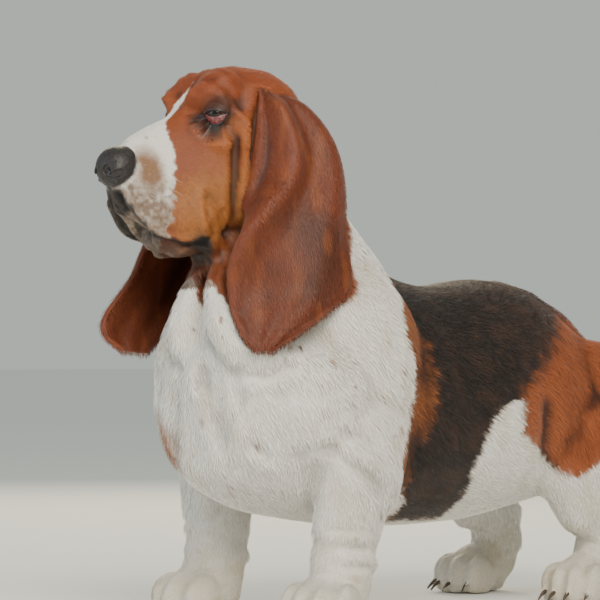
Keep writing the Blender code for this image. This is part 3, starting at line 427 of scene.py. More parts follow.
def column(rows, wanted):  # a smooth curve through evenly spaced rows, at the shares wanted
    rows = np.array(rows, float)
    places = wanted * (len(rows) - 1)
    low = np.clip(places.astype(int), 0, len(rows) - 2)
    t = (places - low)[:, None]
    slopes = np.gradient(rows, axis=0)
    start, end, rise = slopes[low], slopes[low + 1], rows[low + 1] - rows[low]
    return rows[low] + start * t + (3 * rise - 2 * start - end) * t**2 + (start + end - 2 * rise) * t**3


def makeEar(name, rows, side, flesh):  # side is 1 on the dog's left
    bpy.ops.mesh.primitive_grid_add(x_subdivisions=ears["across"], y_subdivisions=ears["down"], size=1)
    ear = bpy.context.object
    grid = placesOf(ear)
    across, down = grid[:, 0] + 0.5, 0.5 - grid[:, 1]
    table = column([[*front, *back, out] for front, back, out in rows], down)
    front, back, out = table[:, :3], table[:, 3:6], table[:, 6]
    outward = unit(np.cross(back - front, [0, 0, 1.0]))
    outward *= np.where(outward[:, 1] * side > 0, -1, 1)[:, None]
    rolled = 0.24 * (1 - ramp(down, 0.4, 0.58)) + 0.035  # share of the width that turns in
    setBack = (0.23 * (1 - ramp(down, 0.24, 0.56)))[:, None]  # the fold stands back from the cheek
    front = front + (back - front) * setBack
    t = np.clip((across - rolled) / (1 - rolled), 0, 1)
    hang = np.sin(np.pi * np.clip(down * 1.25, 0, 1)) ** 0.5
    # long folds, finer ones low down, then waves along both edges
    fold = np.sin(t * 3 * np.pi + 0.6 + 1.2 * down) * ears["folds"] * hang
    fold += np.sin(t * 5 * np.pi + 4.0 * down) * 0.0016 * ramp(down, 0.3, 0.8)
    fold += 0.004 * np.sin(down * 21 + 1.0) * ramp(t, 0.78, 1.0) * ramp(down, 0.25, 0.5)
    fold += 0.0026 * np.sin(down * 17) * (1 - ramp(t, 0.0, 0.16)) * ramp(down, 0.55, 0.7)
    bulge = out * 4 * t * (1 - t) + fold + 0.006 * (1 - ramp(t, 0.0, 0.22)) * (1 - ramp(down, 0.5, 0.75))
    places = front + (back - front) * t[:, None] + outward * bulge[:, None]
    grownTo = np.array([(x, y * side, z) for _, x, y, z in ears["margin"]])
    shares = np.array([share for share, *_ in ears["margin"]])
    sunk = np.stack([np.interp(down, shares, grownTo[:, k]) for k in range(3)], axis=1)
    sunk = outOfHead(sunk)
    free = ramp(down, 0.44, 0.56)[:, None]  # below the cheek the margin hangs free, only turned in
    edge = front + outward * (fold + 0.006 * (1 - ramp(down, 0.5, 0.75)))[:, None]
    turned = edge - outward * 0.007 + unit(back - front) * 0.004
    goal = sunk * (1 - free) + turned * free
    u = np.clip(1 - across / rolled, 0, 1)
    leaf = (0.0045 * np.sin(np.pi * u) - 0.0035 * np.sin(3 * np.pi * u)) * (1 - free[:, 0])
    margin = edge + (goal - edge) * u[:, None] - outward * leaf[:, None]
    inMargin = across < rolled
    places = np.where(inMargin[:, None], margin, places)
    tree = BVHTree.FromObject(flesh, bpy.context.evaluated_depsgraph_get())
    gap = ears["thickness"] / 2 + ears["clear"]
    for i in np.nonzero((down > 0.17) & (~inMargin | (down > 0.5)))[0]:
        place, push = Vector(places[i]), Vector(outward[i]) * ears["push"]
        for _ in range(ears["pushes"]):
            near, normal, _, away = tree.find_nearest(place)
            if (place - near).dot(normal) > 0 and away > gap:
                break
            place += push
        places[i] = place
    setPlaces(ear, places)
    apply(ear, "SMOOTH", factor=0.5, iterations=3)
    facedOut(ear)
    apply(ear, "SOLIDIFY", thickness=ears["thickness"], offset=0.0)
    apply(ear, "SUBSURF", levels=1, render_levels=1)
    ear.name = ear.data.name = name
    return facedOut(ear)


def growEars(flesh, pair):  # the ears become part of the one skin
    sheets = [BVHTree.FromObject(ear, bpy.context.evaluated_depsgraph_get()) for ear in pair]
    for ear in pair:
        apply(flesh, "BOOLEAN", operation="UNION", solver="MANIFOLD", object=ear)
        bpy.data.objects.remove(ear)
    return sheets


def eyeAxes(side):  # centre, the way it looks, up, and towards the inner corner; side is 1 on the dog's left
    x, y, z = eyes["place"]
    centre = onHead(x, y * side, z)
    angle = math.radians(eyes["outward"])
    look = (headFrame.to_3x3() @ Vector((math.cos(angle), math.sin(angle) * side, 0))).normalized()
    up = (Vector((0, 0, 1)) - look * look.z).normalized()
    inward = look.cross(up).normalized() * side
    if inward.dot(headFrame.to_3x3() @ Vector((1, 0, 0))) < 0:
        inward.negate()
    return centre, look, up, inward


def lidDistance(across, high):  # below 0 in the opening between the lids, in metres
    span = np.where(across > 0, eyes["inner"], eyes["outer"])
    shape = np.clip(1 - (across / span) ** 2, 0, 1) ** 0.62
    middle = -0.0012 - 0.1 * across
    over = high - (middle + (eyes["above"] + 0.1 * across) * shape)
    under = (middle - eyes["below"] * shape * (1 - 0.012 * across / 0.01)) - high
    return np.maximum(np.maximum(over, under), (np.abs(across) - span) * 0.8)


def makeLids(flesh):
    bm = bmesh.new()
    bm.from_mesh(flesh.data)
    for reach in (0.026, 0.0185):  # finer faces round each eye
        close = []
        for side in (1, -1):
            centre, look, _, _ = eyeAxes(side)
            close += [edge for edge in bm.edges if (edge.verts[0].co - centre).length < reach
                      and (edge.verts[0].co - centre).dot(look) > 0]
        bmesh.ops.subdivide_edges(bm, edges=close, cuts=1, use_grid_fill=True)
        bmesh.ops.triangulate(bm, faces=[face for face in bm.faces if len(face.verts) > 3])
    bm.to_mesh(flesh.data)
    bm.free()
    points = placesOf(flesh)
    soft = np.zeros(len(points))
    for side in (1, -1):
        centre, look, up, inward = (np.array(v) for v in eyeAxes(side))
        offset = points - centre
        radius = np.linalg.norm(offset, axis=1)
        near = np.nonzero((radius < 0.034) & (offset @ look > -0.002))[0]
        out = unit(offset[near])
        here = radius[near]
        away = lidDistance(out @ inward * eyes["radius"], out @ up * eyes["radius"])
        inside = eyes["radius"] - eyes["socket"]
        rim = eyes["radius"] + eyes["lid"]
        crease = eyes["crease"] * np.exp(-((away - 0.0052) / 0.0011) ** 2)
        wanted = inside + (rim - inside) * ramp(away, -0.0004, 0.0007) - crease
        share = np.maximum(ramp(away, 0.0022, 0.01), 1 - ramp(offset[near] @ look, -0.002, 0.003))
        wanted = wanted * (1 - share) + here * share
        wanted = np.where(away > 0.0007, np.maximum(wanted, eyes["radius"] + 0.0018), wanted)  # hides the haw
        points[near] = centre + out * wanted[:, None]
        soft[near] = np.maximum(soft[near], ramp(away, 0.0016, 0.0034) * (1 - ramp(away, 0.009, 0.016)))
    setPlaces(flesh, points)
    weighted(flesh, "soft", soft)
    apply(flesh, "SMOOTH", factor=0.5, iterations=34, vertex_group="soft")
    flesh.vertex_groups.clear()


def eyeball(name, side):
    centre, look, _, _ = eyeAxes(side)
    bpy.ops.mesh.primitive_uv_sphere_add(segments=48, ring_count=36, radius=eyes["radius"])
    ball = bpy.context.object
    ball.name = ball.data.name = name
    points = placesOf(ball)
    off = np.degrees(np.arccos(np.clip(points[:, 2] / eyes["radius"], -1, 1)))
    points *= 1 + 0.035 * np.exp(-(off / 26)[:, None] ** 4)  # the cornea stands out a little
    turn = np.array(look.to_track_quat("Z", "Y").to_matrix())
    setPlaces(ball, points @ turn.T + np.array(centre))
    ball.data.attributes.new("off", "FLOAT", "POINT").data.foreach_set("value", off / 90)
    return smoothShaded(ball)


def haw(name, side):  # the red lining that the drooping lower lid shows
    centre, look, up, inward = eyeAxes(side)
    bpy.ops.mesh.primitive_uv_sphere_add(segments=64, ring_count=48, radius=eyes["radius"] + 0.00075)
    lining = bpy.context.object
    lining.name = lining.data.name = name
    setPlaces(lining, placesOf(lining) + np.array(centre))
    chooseOnly(lining)
    bpy.ops.object.mode_set(mode="EDIT")
    bpy.ops.mesh.select_all(action="SELECT")
    edge = (up * math.cos(0.42) + look * math.sin(0.42)).normalized()
    bpy.ops.mesh.bisect(plane_co=centre + edge * eyes["radius"] * 0.22, plane_no=edge, clear_outer=True,
                        use_fill=True)
    bpy.ops.object.mode_set(mode="OBJECT")
    return smoothShaded(facedOut(lining))


def ellipsoid(place, radii, turn=(0, 0, 0)):
    bpy.ops.mesh.primitive_uv_sphere_add(segments=28, ring_count=18, radius=1, location=place,
                                         rotation=[math.radians(angle) for angle in turn], scale=radii)
    bpy.ops.object.transform_apply(location=True, rotation=True, scale=True)
    return bpy.context.object


def both(x, y, z, radii, turn=(0, 0, 0)):
    left = ellipsoid((x, y, z), radii, turn)
    right = ellipsoid((x, -y, z), radii, (-turn[0], turn[1], -turn[2]))
    return [left, right]


def makeNose():
    x, _, z = nose["place"]
    pieces = [ellipsoid((x, 0, z), (0.0205, 0.023, 0.021)),
              ellipsoid((x - 0.006, 0, z + 0.007), (0.015, 0.02, 0.0135))]
    pieces += both(x + 0.004, 0.0125, z - 0.002, (0.0135, 0.0105, 0.013))
    leather = joined(pieces, "noseLeather")
    apply(leather, "REMESH", mode="VOXEL", voxel_size=nose["voxel"])
    apply(leather, "SMOOTH", factor=0.5, iterations=8)
    holes = both(x + 0.0195, 0.0105, z - 0.001, (0.01, 0.0052, 0.0064), (20, 0, 10))
    holes += both(x + 0.012, 0.02, z - 0.005, (0.012, 0.0048, 0.003), (0, 12, -50))
    holes = joined(holes, "nostrils")
    apply(holes, "REMESH", mode="VOXEL", voxel_size=nose["voxel"])
    apply(holes, "SMOOTH", factor=0.5, iterations=4)
    apply(leather, "BOOLEAN", operation="DIFFERENCE", solver="MANIFOLD", object=holes)
    bpy.data.objects.remove(holes)
    apply(leather, "REMESH", mode="VOXEL", voxel_size=nose["voxel"])
    apply(leather, "SMOOTH", factor=0.5, iterations=2)
    points, normals = placesOf(leather), normalsOf(leather)
    groove = [(x + 0.023, 0, z + 0.012), (x + 0.025, 0, z - 0.004), (x + 0.022, 0, z - 0.02)]
    press(points, normals, points.copy(), groove, 0.0017, 0.0018)
    pebbles = mottle(points, 0.0021, 8) * 0.00022 + mottle(points, 0.0011, 9) * 0.00012
    setPlaces(leather, points + normals * pebbles[:, None])
    setPlaces(leather, outOfHead(placesOf(leather)))
    return smoothShaded(leather)


claws = {
    "fore": {"place": (-0.23, 0.092), "length": 0.098, "width": 0.082, "turned": 12, "back": 0.0},
    "hind": {"place": (0.17, 0.09), "length": 0.09, "width": 0.074, "turned": 7, "back": 0.03},
    "long": 0.0145, "thick": 0.003,
}


def taper(bm, line, radii, sides=8):  # a closed tapering rod along a line
    line = [Vector(point) for point in line]
    rings = []
    for i, (place, radius) in enumerate(zip(line, radii)):
        run = (line[min(i + 1, len(line) - 1)] - line[max(i - 1, 0)]).normalized()
        right = run.cross(Vector((0.31, 0.17, 1.0))).normalized()
        over = right.cross(run)
        rings.append([bm.verts.new(place + (right * math.cos(a) + over * math.sin(a)) * radius)
                      for a in (2 * math.pi * k / sides for k in range(sides))])
    for low, high in zip(rings, rings[1:]):
        for k in range(sides):
            bm.faces.new((low[k], low[(k + 1) % sides], high[(k + 1) % sides], high[k]))
    bm.faces.new(rings[0][::-1])
    bm.faces.new(rings[-1])


def pieceFrom(bm, name):
    bmesh.ops.recalc_face_normals(bm, faces=bm.faces)
    mesh = bpy.data.meshes.new(name)
    bm.to_mesh(mesh)
    bm.free()
    return smoothShaded(linked(name, mesh))


def makeClaws():
    bm = bmesh.new()
    for side in (1, -1):
        for paw in (claws["fore"], claws["hind"]):
            x, y = paw["place"]
            place = Vector((x + (paw["back"] if side == 1 else 0), y * side, 0))
            turn = Matrix.Rotation(math.radians(180 - paw["turned"] * side), 3, "Z")
            for row in (-1.5, -0.5, 0.5, 1.5):
                reach = paw["length"] * (0.5 if abs(row) < 1 else 0.37)
                spread = math.radians(row * 7)
                out = turn @ Vector((math.cos(spread), math.sin(spread), 0))
                root = place + turn @ Vector((reach, row * paw["width"] * 0.235, 0)) + Vector((0, 0, 0.0125))
                steps = [i / 6 for i in range(7)]
                line = [root + out * (claws["long"] * (t * 1.15 - 0.15))
                        + Vector((0, 0, 0.001 - 0.0098 * t**2.2)) for t in steps]
                taper(bm, line, [claws["thick"] * (1 - 0.78 * t**1.5) for t in steps])
    return pieceFrom(bm, "claws")


whiskers = {"count": 6, "thick": 0.00017, "long": (0.012, 0.024)}


def makeWhiskers(tree):
    rng = np.random.default_rng(5)
    bm = bmesh.new()
    for side in (1, -1):
        for i in range(whiskers["count"]):
            seek = onHead(0.118 + 0.011 * (i % 3) + rng.uniform(-0.002, 0.002), 0.06 * side,
                          -0.04 - 0.011 * (i // 3) + rng.uniform(-0.002, 0.002))
            inward = headFrame.to_3x3() @ Vector((0, -side, 0))
            root, normal, _, _ = tree.ray_cast(seek, inward)
            if root is None:
                continue
            out = (normal * 0.8 + headFrame.to_3x3() @ Vector((-0.4, 0.2 * side, -0.25))).normalized()
            length = rng.uniform(*whiskers["long"])
            steps = (0, 0.2, 0.4, 0.6, 0.8, 1)
            line = [root - normal * 0.0006 + out * length * t + Vector((0, 0, -0.25 * length * t * t))
                    for t in steps]
            taper(bm, line, [whiskers["thick"] * (1.05 - 0.85 * t) for t in steps], 4)
    return pieceFrom(bm, "whiskers")


# The markings: edges as pairs of heights and lengths, in the shared frame and in the head's
edges = {
    "tan": ((0.1, -0.112), (0.117, -0.117), (0.157, -0.168), (0.184, -0.149), (0.228, -0.131),
            (0.258, -0.131),
            (0.286, -0.145), (0.312, -0.143), (0.335, -0.114), (0.352, -0.105), (0.385, -0.085)),
    "black": ((0.1, -0.108), (0.141, -0.135), (0.158, -0.137), (0.177, -0.122), (0.201, -0.106),
              (0.245, -0.094), (0.275, -0.096), (0.303, -0.104), (0.318, -0.108), (0.339, -0.106),
              (0.385, -0.08)),
    "rear": ((0.094, -0.03), (0.108, -0.036), (0.147, -0.043), (0.176, -0.033), (0.2, -0.017), (0.217, 0.008),
             (0.223, 0.037), (0.224, 9.0)),
    "saddle": ((0.027, 0.223), (0.065, 0.248), (0.102, 0.273), (0.132, 0.293), (0.17, 0.31), (0.22, 0.312),
               (0.28, 0.286)),
    "thigh": ((0.034, 0.186), (0.074, 0.168), (0.116, 0.142), (0.133, 0.138), (0.155, 0.147), (0.2, 0.165),
              (0.25, 0.19), (0.29, 0.2)),
    "neck": ((-0.4, 0.335), (-0.35, 0.33), (-0.338, 0.316), (-0.3, 0.312), (-0.226, 0.316), (-0.214, 0.321),
             (-0.203, 0.329), (-0.196, 0.346), (-0.189, 0.367), (-0.165, 0.4), (-0.14, 0.425), (-0.12, 0.46)),
    "muzzle": ((-0.13, 0.1), (-0.105, 0.128), (-0.0894, 0.1307), (-0.0785, 0.1264), (-0.0645, 0.1221),
               (-0.0504, 0.1178), (-0.0316, 0.1116), (-0.012, 0.1079), (0.0077, 0.1024)),
    "blaze": ((0.05, 0.0), (0.058, 0.0015), (0.064, 0.0035), (0.08, 0.0055), (0.09, 0.0075), (0.096, 0.011),
              (0.1024, 0.019), (0.108, 0.04)),
    "lips": ((0.165, 0.01, -0.0475), (0.1625, 0.0145, -0.059), (0.156, 0.018, -0.072),
             (0.148, 0.0215, -0.083),
             (0.138, 0.024, -0.093), (0.1265, 0.027, -0.1), (0.11, 0.032, -0.105), (0.0956, 0.038, -0.1045)),
}

shades = {
    "white": "#f8f4ec", "cream": "#e2d6bd", "black": "#120e0c", "saddleBrown": "#4c3225", "tan": "#84491f",
    "thigh": "#904a22", "brown": "#8d441b", "forehead": "#803813", "cheek": "#985220", "jowl": "#a5662f",
    "throat": "#6e3717", "ear": "#703317", "earDark": "#43200f", "earRim": "#985224", "patch": "#8c6440",
    "freckle": "#8d8078", "lip": "#1d1716", "lashAndPaintedShade": "#2a1710", "chin": "#866b54",
}


def between(values, pairs):
    pairs = np.array(pairs)
    return np.interp(values, pairs[:, 0], pairs[:, 1])


def blotch(points, centre, radius, soft=0.35):  # 1 inside, 0 outside
    off = np.linalg.norm((points - np.array(centre)) / np.array(radius), axis=1)
    return 1 - ramp(off, 1 - soft, 1 + soft)


def coatColours(points, onEar):
    colours = np.tile(linear(shades["white"]), (len(points), 1))

    def paint(shade, share):
        colours[:] += (np.array(linear(shades[shade])) - colours) * np.clip(share, 0, 1)[:, None]

    fine, broad = mottle(points, 0.0032, 21), mottle(points, 0.016, 22)
    wander = fine * 0.0026 + mottle(points, 0.0075, 23) * 0.003
    x, y, z = points.T
    local = inHead(points)
    hx, hy, hz = local.T
    wide = np.abs(hy)
    paint("cream", 0.45 * ramp(broad, 0.0, 0.8) + 0.5 * (1 - ramp(z, 0.02, 0.1)))
    # the body's brown and black, over all but belly, chest and legs
    dark = ramp(x - between(z, edges["tan"]) + wander, -0.002, 0.003)
    front = ramp(between(z, edges["rear"]) - x + wander, -0.003, 0.003) * ramp(z + wander, 0.094, 0.102)
    behind = ramp(x + wander, 0.031, 0.037) * ramp(z - between(x, edges["thigh"]) + wander, -0.003, 0.003)
    dark = dark * np.maximum(front, behind)
    paint("tan", dark)
    paint("thigh", dark * ramp(x, 0.0, 0.06))
    black = ramp(x - between(z, edges["black"]) + 1.6 * wander, -0.004, 0.006)
    black = black * ramp(z - between(x, edges["saddle"]) + 2.5 * wander, -0.016, 0.014)
    low = ramp(x - between(z, edges["black"]) + 1.6 * wander, -0.004, 0.006) * (1 - ramp(x, 0.02, 0.042))
    black = np.maximum(black, low) * dark
    paint("black", black * (0.97 - 0.1 * ramp(fine, 0.3, 0.9)))
    paint("saddleBrown", black * (0.3 * ramp(broad, -0.2, 0.7) + 0.35 * ramp(x, 0.02, 0.2)))
    paint("black", dark * (1 - black) * (x < 0.02) * 0.35 * ramp(fine, -0.1, 0.6))
    paint("white", ramp(z + wander, 0.345, 0.362) * ramp(x, 0.33, 0.36))
    # head and neck
    brown = ramp(z - between(x, edges["neck"]) + wander, -0.003, 0.003) * (x < -0.11)
    brown = np.maximum(brown, (hx > -0.06) & (hz > -0.085))
    brown = np.maximum(brown, onEar)
    paint("brown", brown)
    onFace = brown * ramp(hx, -0.055, -0.02) * ramp(hz, -0.12, -0.1)
    paint("throat", brown * (1 - onFace) * 0.75)
    paint("forehead", onFace * ramp(hz, 0.028, 0.05) * (0.75 + 0.25 * fine))
    paint("cheek", onFace * ramp(wide, 0.034, 0.046) * (1 - ramp(hz, 0.0, 0.02)))
    paint("jowl", onFace * ramp(wide, 0.03, 0.042) * (1 - ramp(hz, -0.055, -0.03)) * ramp(hx, 0.03, 0.06))
    paint("brown", onFace * 0.5 * ramp(fine, 0.1, 0.7))
    paint("ear", onEar)
    paint("earDark", onEar * ramp(broad + 0.3 * fine, 0.1, 1.0) * 0.35)
    for centre, radius in (((-0.269, -0.093, 0.394), 0.022), ((-0.252, -0.104, 0.379), 0.02),
                           ((-0.255, -0.106, 0.35), 0.02), ((-0.271, -0.102, 0.33), 0.016)):
        paint("earDark", onEar * 0.55 * blotch(points + wander[:, None] * 1.5, centre, radius, 0.75))
    paint("earRim", onEar * 0.45 * ramp(mottle(points * np.array([1, 1, 0.35]), 0.012, 24), 0.2, 0.9))
    # the white muzzle with its blaze
    white = ramp(hx - between(hz, edges["muzzle"]) + wander, -0.002, 0.003)
    half = between(hx, edges["blaze"])
    blaze = ramp(half - np.abs(hy + 0.004) + 0.5 * wander, -0.0012, 0.0012) * (hz > -0.02) * (hx > 0.05)
    white = np.maximum(white, blaze) * (1 - onEar) * (hz > -0.17)
    paint("white", white)
    chin = (hx > 0.07) * (1 - ramp(hz, -0.108, -0.098)) * (hz > -0.13) * (wide < 0.03)
    paint("chin", chin * (0.55 + 0.3 * fine))
    mirrored = np.stack([hx, wide, hz], axis=1)

    def spot(shade, place, radius, soft, share, ragged=0):  # on both sides of the face
        paint(shade, share * blotch(mirrored + wander[:, None] * ragged, place, radius, soft))

    spot("patch", (0.1345, 0.022, -0.03), (0.0135, 0.018, 0.024), 0.6, white * (1.05 + 0.2 * fine), 1)
    freckles = ramp(mottle(points, 0.0042, 25), 0.52, 0.7)
    spot("freckle", (0.14, 0.028, -0.058), (0.022, 0.03, 0.024), 0.5, white * freckles * 0.9)
    spot("freckle", (0.128, 0.01, -0.004), (0.02, 0.014, 0.014), 0.5, white * freckles * 0.6)
    lower = ramp(0.6 * (hx - 0.13) - hz + wander * 3, 0.032, 0.07) * (hz > -0.15) * (1 - onEar)
    paint("chin", white * lower * (0.9 + 0.3 * fine))
    paint("freckle", white * lower * ramp(fine, 0.2, 0.7) * 0.5)
    lips = 1 - ramp(awayFrom(mirrored, rounded(edges["lips"])) + wander, 0.0045, 0.0085)
    paint("lip", (hx > 0.05) * lips * 0.9)
    # black lip pigment, and painted shade in the cleft between the flews
    spot("lip", (0.163, 0.0, -0.056), (0.014, 0.0125, 0.02), 0.3, white * (0.9 + 0.1 * fine))
    paint("lip", (hx > 0.085) * (hz < -0.088) * (hz > -0.15) * (1 - ramp(wide, 0.018, 0.028)) * 0.55)
    spot("lip", (0.099, 0.038, -0.114), (0.014, 0.013, 0.018), 0.4, 0.97)
    # dark lid skin round the eye, and painted shade in the socket under the brow
    spot("lashAndPaintedShade", (0.0625, 0.043, 0.0115), (0.017, 0.016, 0.0125), 0.5, 0.9, 0.3)
    spot("lashAndPaintedShade", (0.073, 0.032, 0.013), 0.0085, 0.5, 0.8)
    spot("lashAndPaintedShade", (0.056, 0.046, 0.022), (0.017, 0.016, 0.012), 0.5, 0.7, 0.5)
    # painted shade: a dark line down the crease from the eye along the cheek
    cheekCreaseShadeLine = [(0.052, 0.053, 0.01), (0.048, 0.0545, -0.008), (0.052, 0.0535, -0.028),
                 (0.058, 0.051, -0.056)]
    paint("lashAndPaintedShade", (1 - ramp(awayFrom(mirrored, cheekCreaseShadeLine), 0.0012, 0.0048)) * 0.6)
    # ticks on the white, and the patch on the right upper arm
    paint("tan", blotch(points + wander[:, None] * 2, (-0.31, 0.085, 0.17), (0.045, 0.05, 0.04), 0.3) * 0.9)
    ticks = ramp(mottle(points, 0.0062, 26), 0.7, 0.8) * ramp(broad, -0.2, 0.3) * (1 - dark) * (1 - brown)
    paint("tan", ticks * (x < -0.05) * ramp(z, 0.06, 0.12) * 0.75)
    return colours


def bareness(points):  # 1 on lips and lid rims, where no hair grows
    local = inHead(points)
    mirrored = np.stack([local[:, 0], np.abs(local[:, 1]), local[:, 2]], axis=1)
    bare = 1 - ramp(awayFrom(mirrored, rounded(edges["lips"])), 0.0026, 0.0036)
    for side in (1, -1):
        centre, look, up, inward = (np.array(v) for v in eyeAxes(side))
        offset = points - centre
        out = unit(offset)
        away = lidDistance(out @ inward * eyes["radius"], out @ up * eyes["radius"])
        close = (np.linalg.norm(offset, axis=1) < 0.02) & (offset @ look > 0)
        bare = np.maximum(bare, np.where(close, 1 - ramp(away, 0.0011, 0.0018), 0))
    x, _, z = nose["place"]
    bare = np.maximum(bare, blotch(local, (x, 0, z), (0.0222, 0.025, 0.0225), 0.04))
    return bare


# The lie of the coat: place, the way the hair lies, length and width in mm; Y counts for both sides
lieOnHead = (
    ((0.135, 0.01, 0.000), (-1, 0.1, 0.15), 3.2, 0.42), ((0.125, 0.03, -0.04), (-0.8, 0.15, -0.5), 3.8, 0.45),
    ((0.14, 0.028, -0.06), (-0.6, 0.2, -0.7), 3.4, 0.45),
    ((0.11, 0.04, -0.085), (-0.5, 0.1, -0.85), 4.2, 0.48),
    ((0.162, 0.008, -0.055), (-0.2, 0.4, -0.9), 3, 0.42),
    ((0.088, 0.006, 0.025), (-0.7, 0.1, 0.7), 3.8, 0.45),
    ((0.095, 0.03, -0.01), (-0.95, 0.1, -0.1), 4, 0.45), ((0.062, 0.028, 0.046), (-0.6, 0.4, 0.5), 4.2, 0.45),
    ((0.045, 0.05, 0.03), (-0.85, 0.4, -0.1), 4, 0.45),
    ((0.075, 0.042, -0.012), (-0.7, 0.2, -0.6), 3.8, 0.45),
    ((0.03, 0.056, -0.03), (-0.5, 0.2, -0.8), 5.2, 0.55),
    ((0.052, 0.05, -0.08), (-0.45, 0.1, -0.85), 5.4, 0.55),
    ((0.09, 0.045, -0.06), (-0.6, 0.1, -0.75), 4.4, 0.5), ((0.03, 0.015, 0.06), (-1, 0.15, 0.1), 5, 0.52),
    ((-0.02, 0.02, 0.06), (-1, 0.1, -0.1), 6.5, 0.6), ((-0.07, 0, 0.03), (-0.8, 0, -0.6), 8.5, 0.7),
    ((0.1, 0.01, -0.115), (-0.9, 0.1, -0.3), 5, 0.52), ((0.06, 0.015, -0.12), (-0.8, 0.1, -0.6), 7, 0.6),
)
lieOnBody = (
    ((-0.26, 0.06, 0.51), (0.1, 0.2, -1), 6, 0.55), ((-0.25, 0.085, 0.44), (0.08, 0.05, -1), 6.5, 0.58),
    ((-0.28, 0.09, 0.38), (0, 0, -1), 6.5, 0.58), ((-0.3, 0.092, 0.31), (-0.05, 0, -1), 6, 0.55),
    ((-0.225, 0.1, 0.36), (0.25, 0, -1), 6.5, 0.58), ((-0.2, 0.065, 0.41), (0.5, 0, -0.85), 10, 0.75),
    ((-0.15, 0, 0.44), (0.75, 0, -0.65), 11, 0.8), ((-0.32, 0.02, 0.34), (0.2, 0.1, -1), 9, 0.7),
    ((-0.345, 0.025, 0.28), (0.1, 0.15, -1), 10, 0.75), ((-0.33, 0.03, 0.215), (0.15, 0.3, -1), 11, 0.8),
    ((-0.29, 0, 0.13), (0.6, 0, -0.6), 11, 0.8), ((-0.28, 0.1, 0.23), (0.5, 0.2, -0.9), 11, 0.8),
    ((-0.2, 0.12, 0.27), (0.7, 0, -0.7), 11, 0.8), ((-0.24, 0.12, 0.17), (0.35, 0, -1), 9, 0.7),
    ((-0.23, 0.09, 0.095), (0.05, 0, -1), 7, 0.6), ((-0.2, 0.08, 0.06), (-0.1, 0, -1), 6, 0.55),
    ((-0.262, 0.095, 0.03), (-0.8, 0, -0.5), 4.6, 0.5), ((-0.21, 0.095, 0.02), (-0.4, 0, -0.8), 4.6, 0.5),
    ((-0.06, 0.03, 0.37), (1, 0.15, -0.05), 11, 0.8), ((0.1, 0.03, 0.355), (1, 0.12, 0), 11, 0.8),
    ((0.24, 0.03, 0.33), (0.95, 0.1, -0.3), 11, 0.8), ((-0.1, 0.125, 0.26), (0.85, 0, -0.5), 11, 0.8),
    ((0.03, 0.125, 0.27), (0.95, 0, -0.35), 11, 0.8), ((-0.05, 0.125, 0.18), (0.85, 0, -0.5), 11, 0.8),
    ((0.06, 0.115, 0.19), (0.9, 0, -0.4), 11, 0.8), ((-0.05, 0.06, 0.115), (0.95, -0.2, -0.1), 11, 0.8),
    ((0.08, 0.05, 0.13), (0.95, -0.2, 0), 11, 0.8), ((0.13, 0.115, 0.25), (0.7, 0, -0.7), 11, 0.8),
    ((0.19, 0.11, 0.22), (0.35, 0, -0.9), 11, 0.8), ((0.27, 0.07, 0.22), (0.15, 0, -1), 12, 0.8),
    ((0.13, 0.095, 0.15), (0.5, 0, -0.8), 10, 0.75), ((0.2, 0.09, 0.12), (0.35, 0, -1), 8, 0.65),
    ((0.235, 0.09, 0.075), (-0.2, 0, -1), 7, 0.6), ((0.145, 0.09, 0.03), (-0.8, 0, -0.5), 4.6, 0.5),
    ((0.19, 0.09, 0.02), (-0.4, 0, -0.8), 4.6, 0.5), ((0.275, 0.02, 0.27), (0.8, 0, -0.3), 12, 0.8),
    ((0.315, 0, 0.25), (1, 0, 0.35), 13, 0.75), ((0.375, 0, 0.29), (0.75, 0, 0.7), 13, 0.75),
    ((0.408, 0, 0.34), (0.35, 0, 1), 12, 0.7), ((0.418, 0, 0.4), (0.1, 0, 1), 10, 0.65),
)
coat = {"tufts": 235000, "pieces": 8, "lift": 0.5, "wild": 0.1, "swirl": 0.22, "shade": 0.1}


def lieOfCoat(points):
    spots, ways = [], []
    for table, turn in ((lieOnHead, fromHead), (lieOnBody, np.eye(4))):
        for (x, y, z), way, long, wide in table:
            for side in (1, -1):
                spots.append(turn[:3, :3] @ np.array([x, y * side, z]) + turn[:3, 3])
                lie = turn[:3, :3] @ np.array([way[0], way[1] * side, way[2]])
                ways.append([*(lie / np.linalg.norm(lie)), long / 1000, wide / 1000])
    spots, ways = np.array(spots, np.float32), np.array(ways, np.float32)
    out = []
    for chunk in np.array_split(points.astype(np.float32), 12):
        away = ((chunk[:, None, :] - spots[None]) ** 2).sum(2)
        near = 1 / (away + 0.00006) ** 2.2
        out.append((near / near.sum(1)[:, None]) @ ways)
    table = np.concatenate(out).astype(float)
    return table[:, :3], table[:, 3], table[:, 4]


def unwrapped(flesh):  # a coarse copy of the skin with its map, for the tufts' patches
    proxy = linked("proxy", flesh.data.copy())
    apply(proxy, "DECIMATE", ratio=9000 / len(flesh.data.polygons), use_collapse_triangulate=True)
    chooseOnly(proxy)
    bpy.ops.object.mode_set(mode="EDIT")
    bpy.ops.mesh.select_all(action="SELECT")
    bpy.ops.uv.smart_project(angle_limit=math.radians(66), island_margin=0.004)
    bpy.ops.object.mode_set(mode="OBJECT")
    return proxy


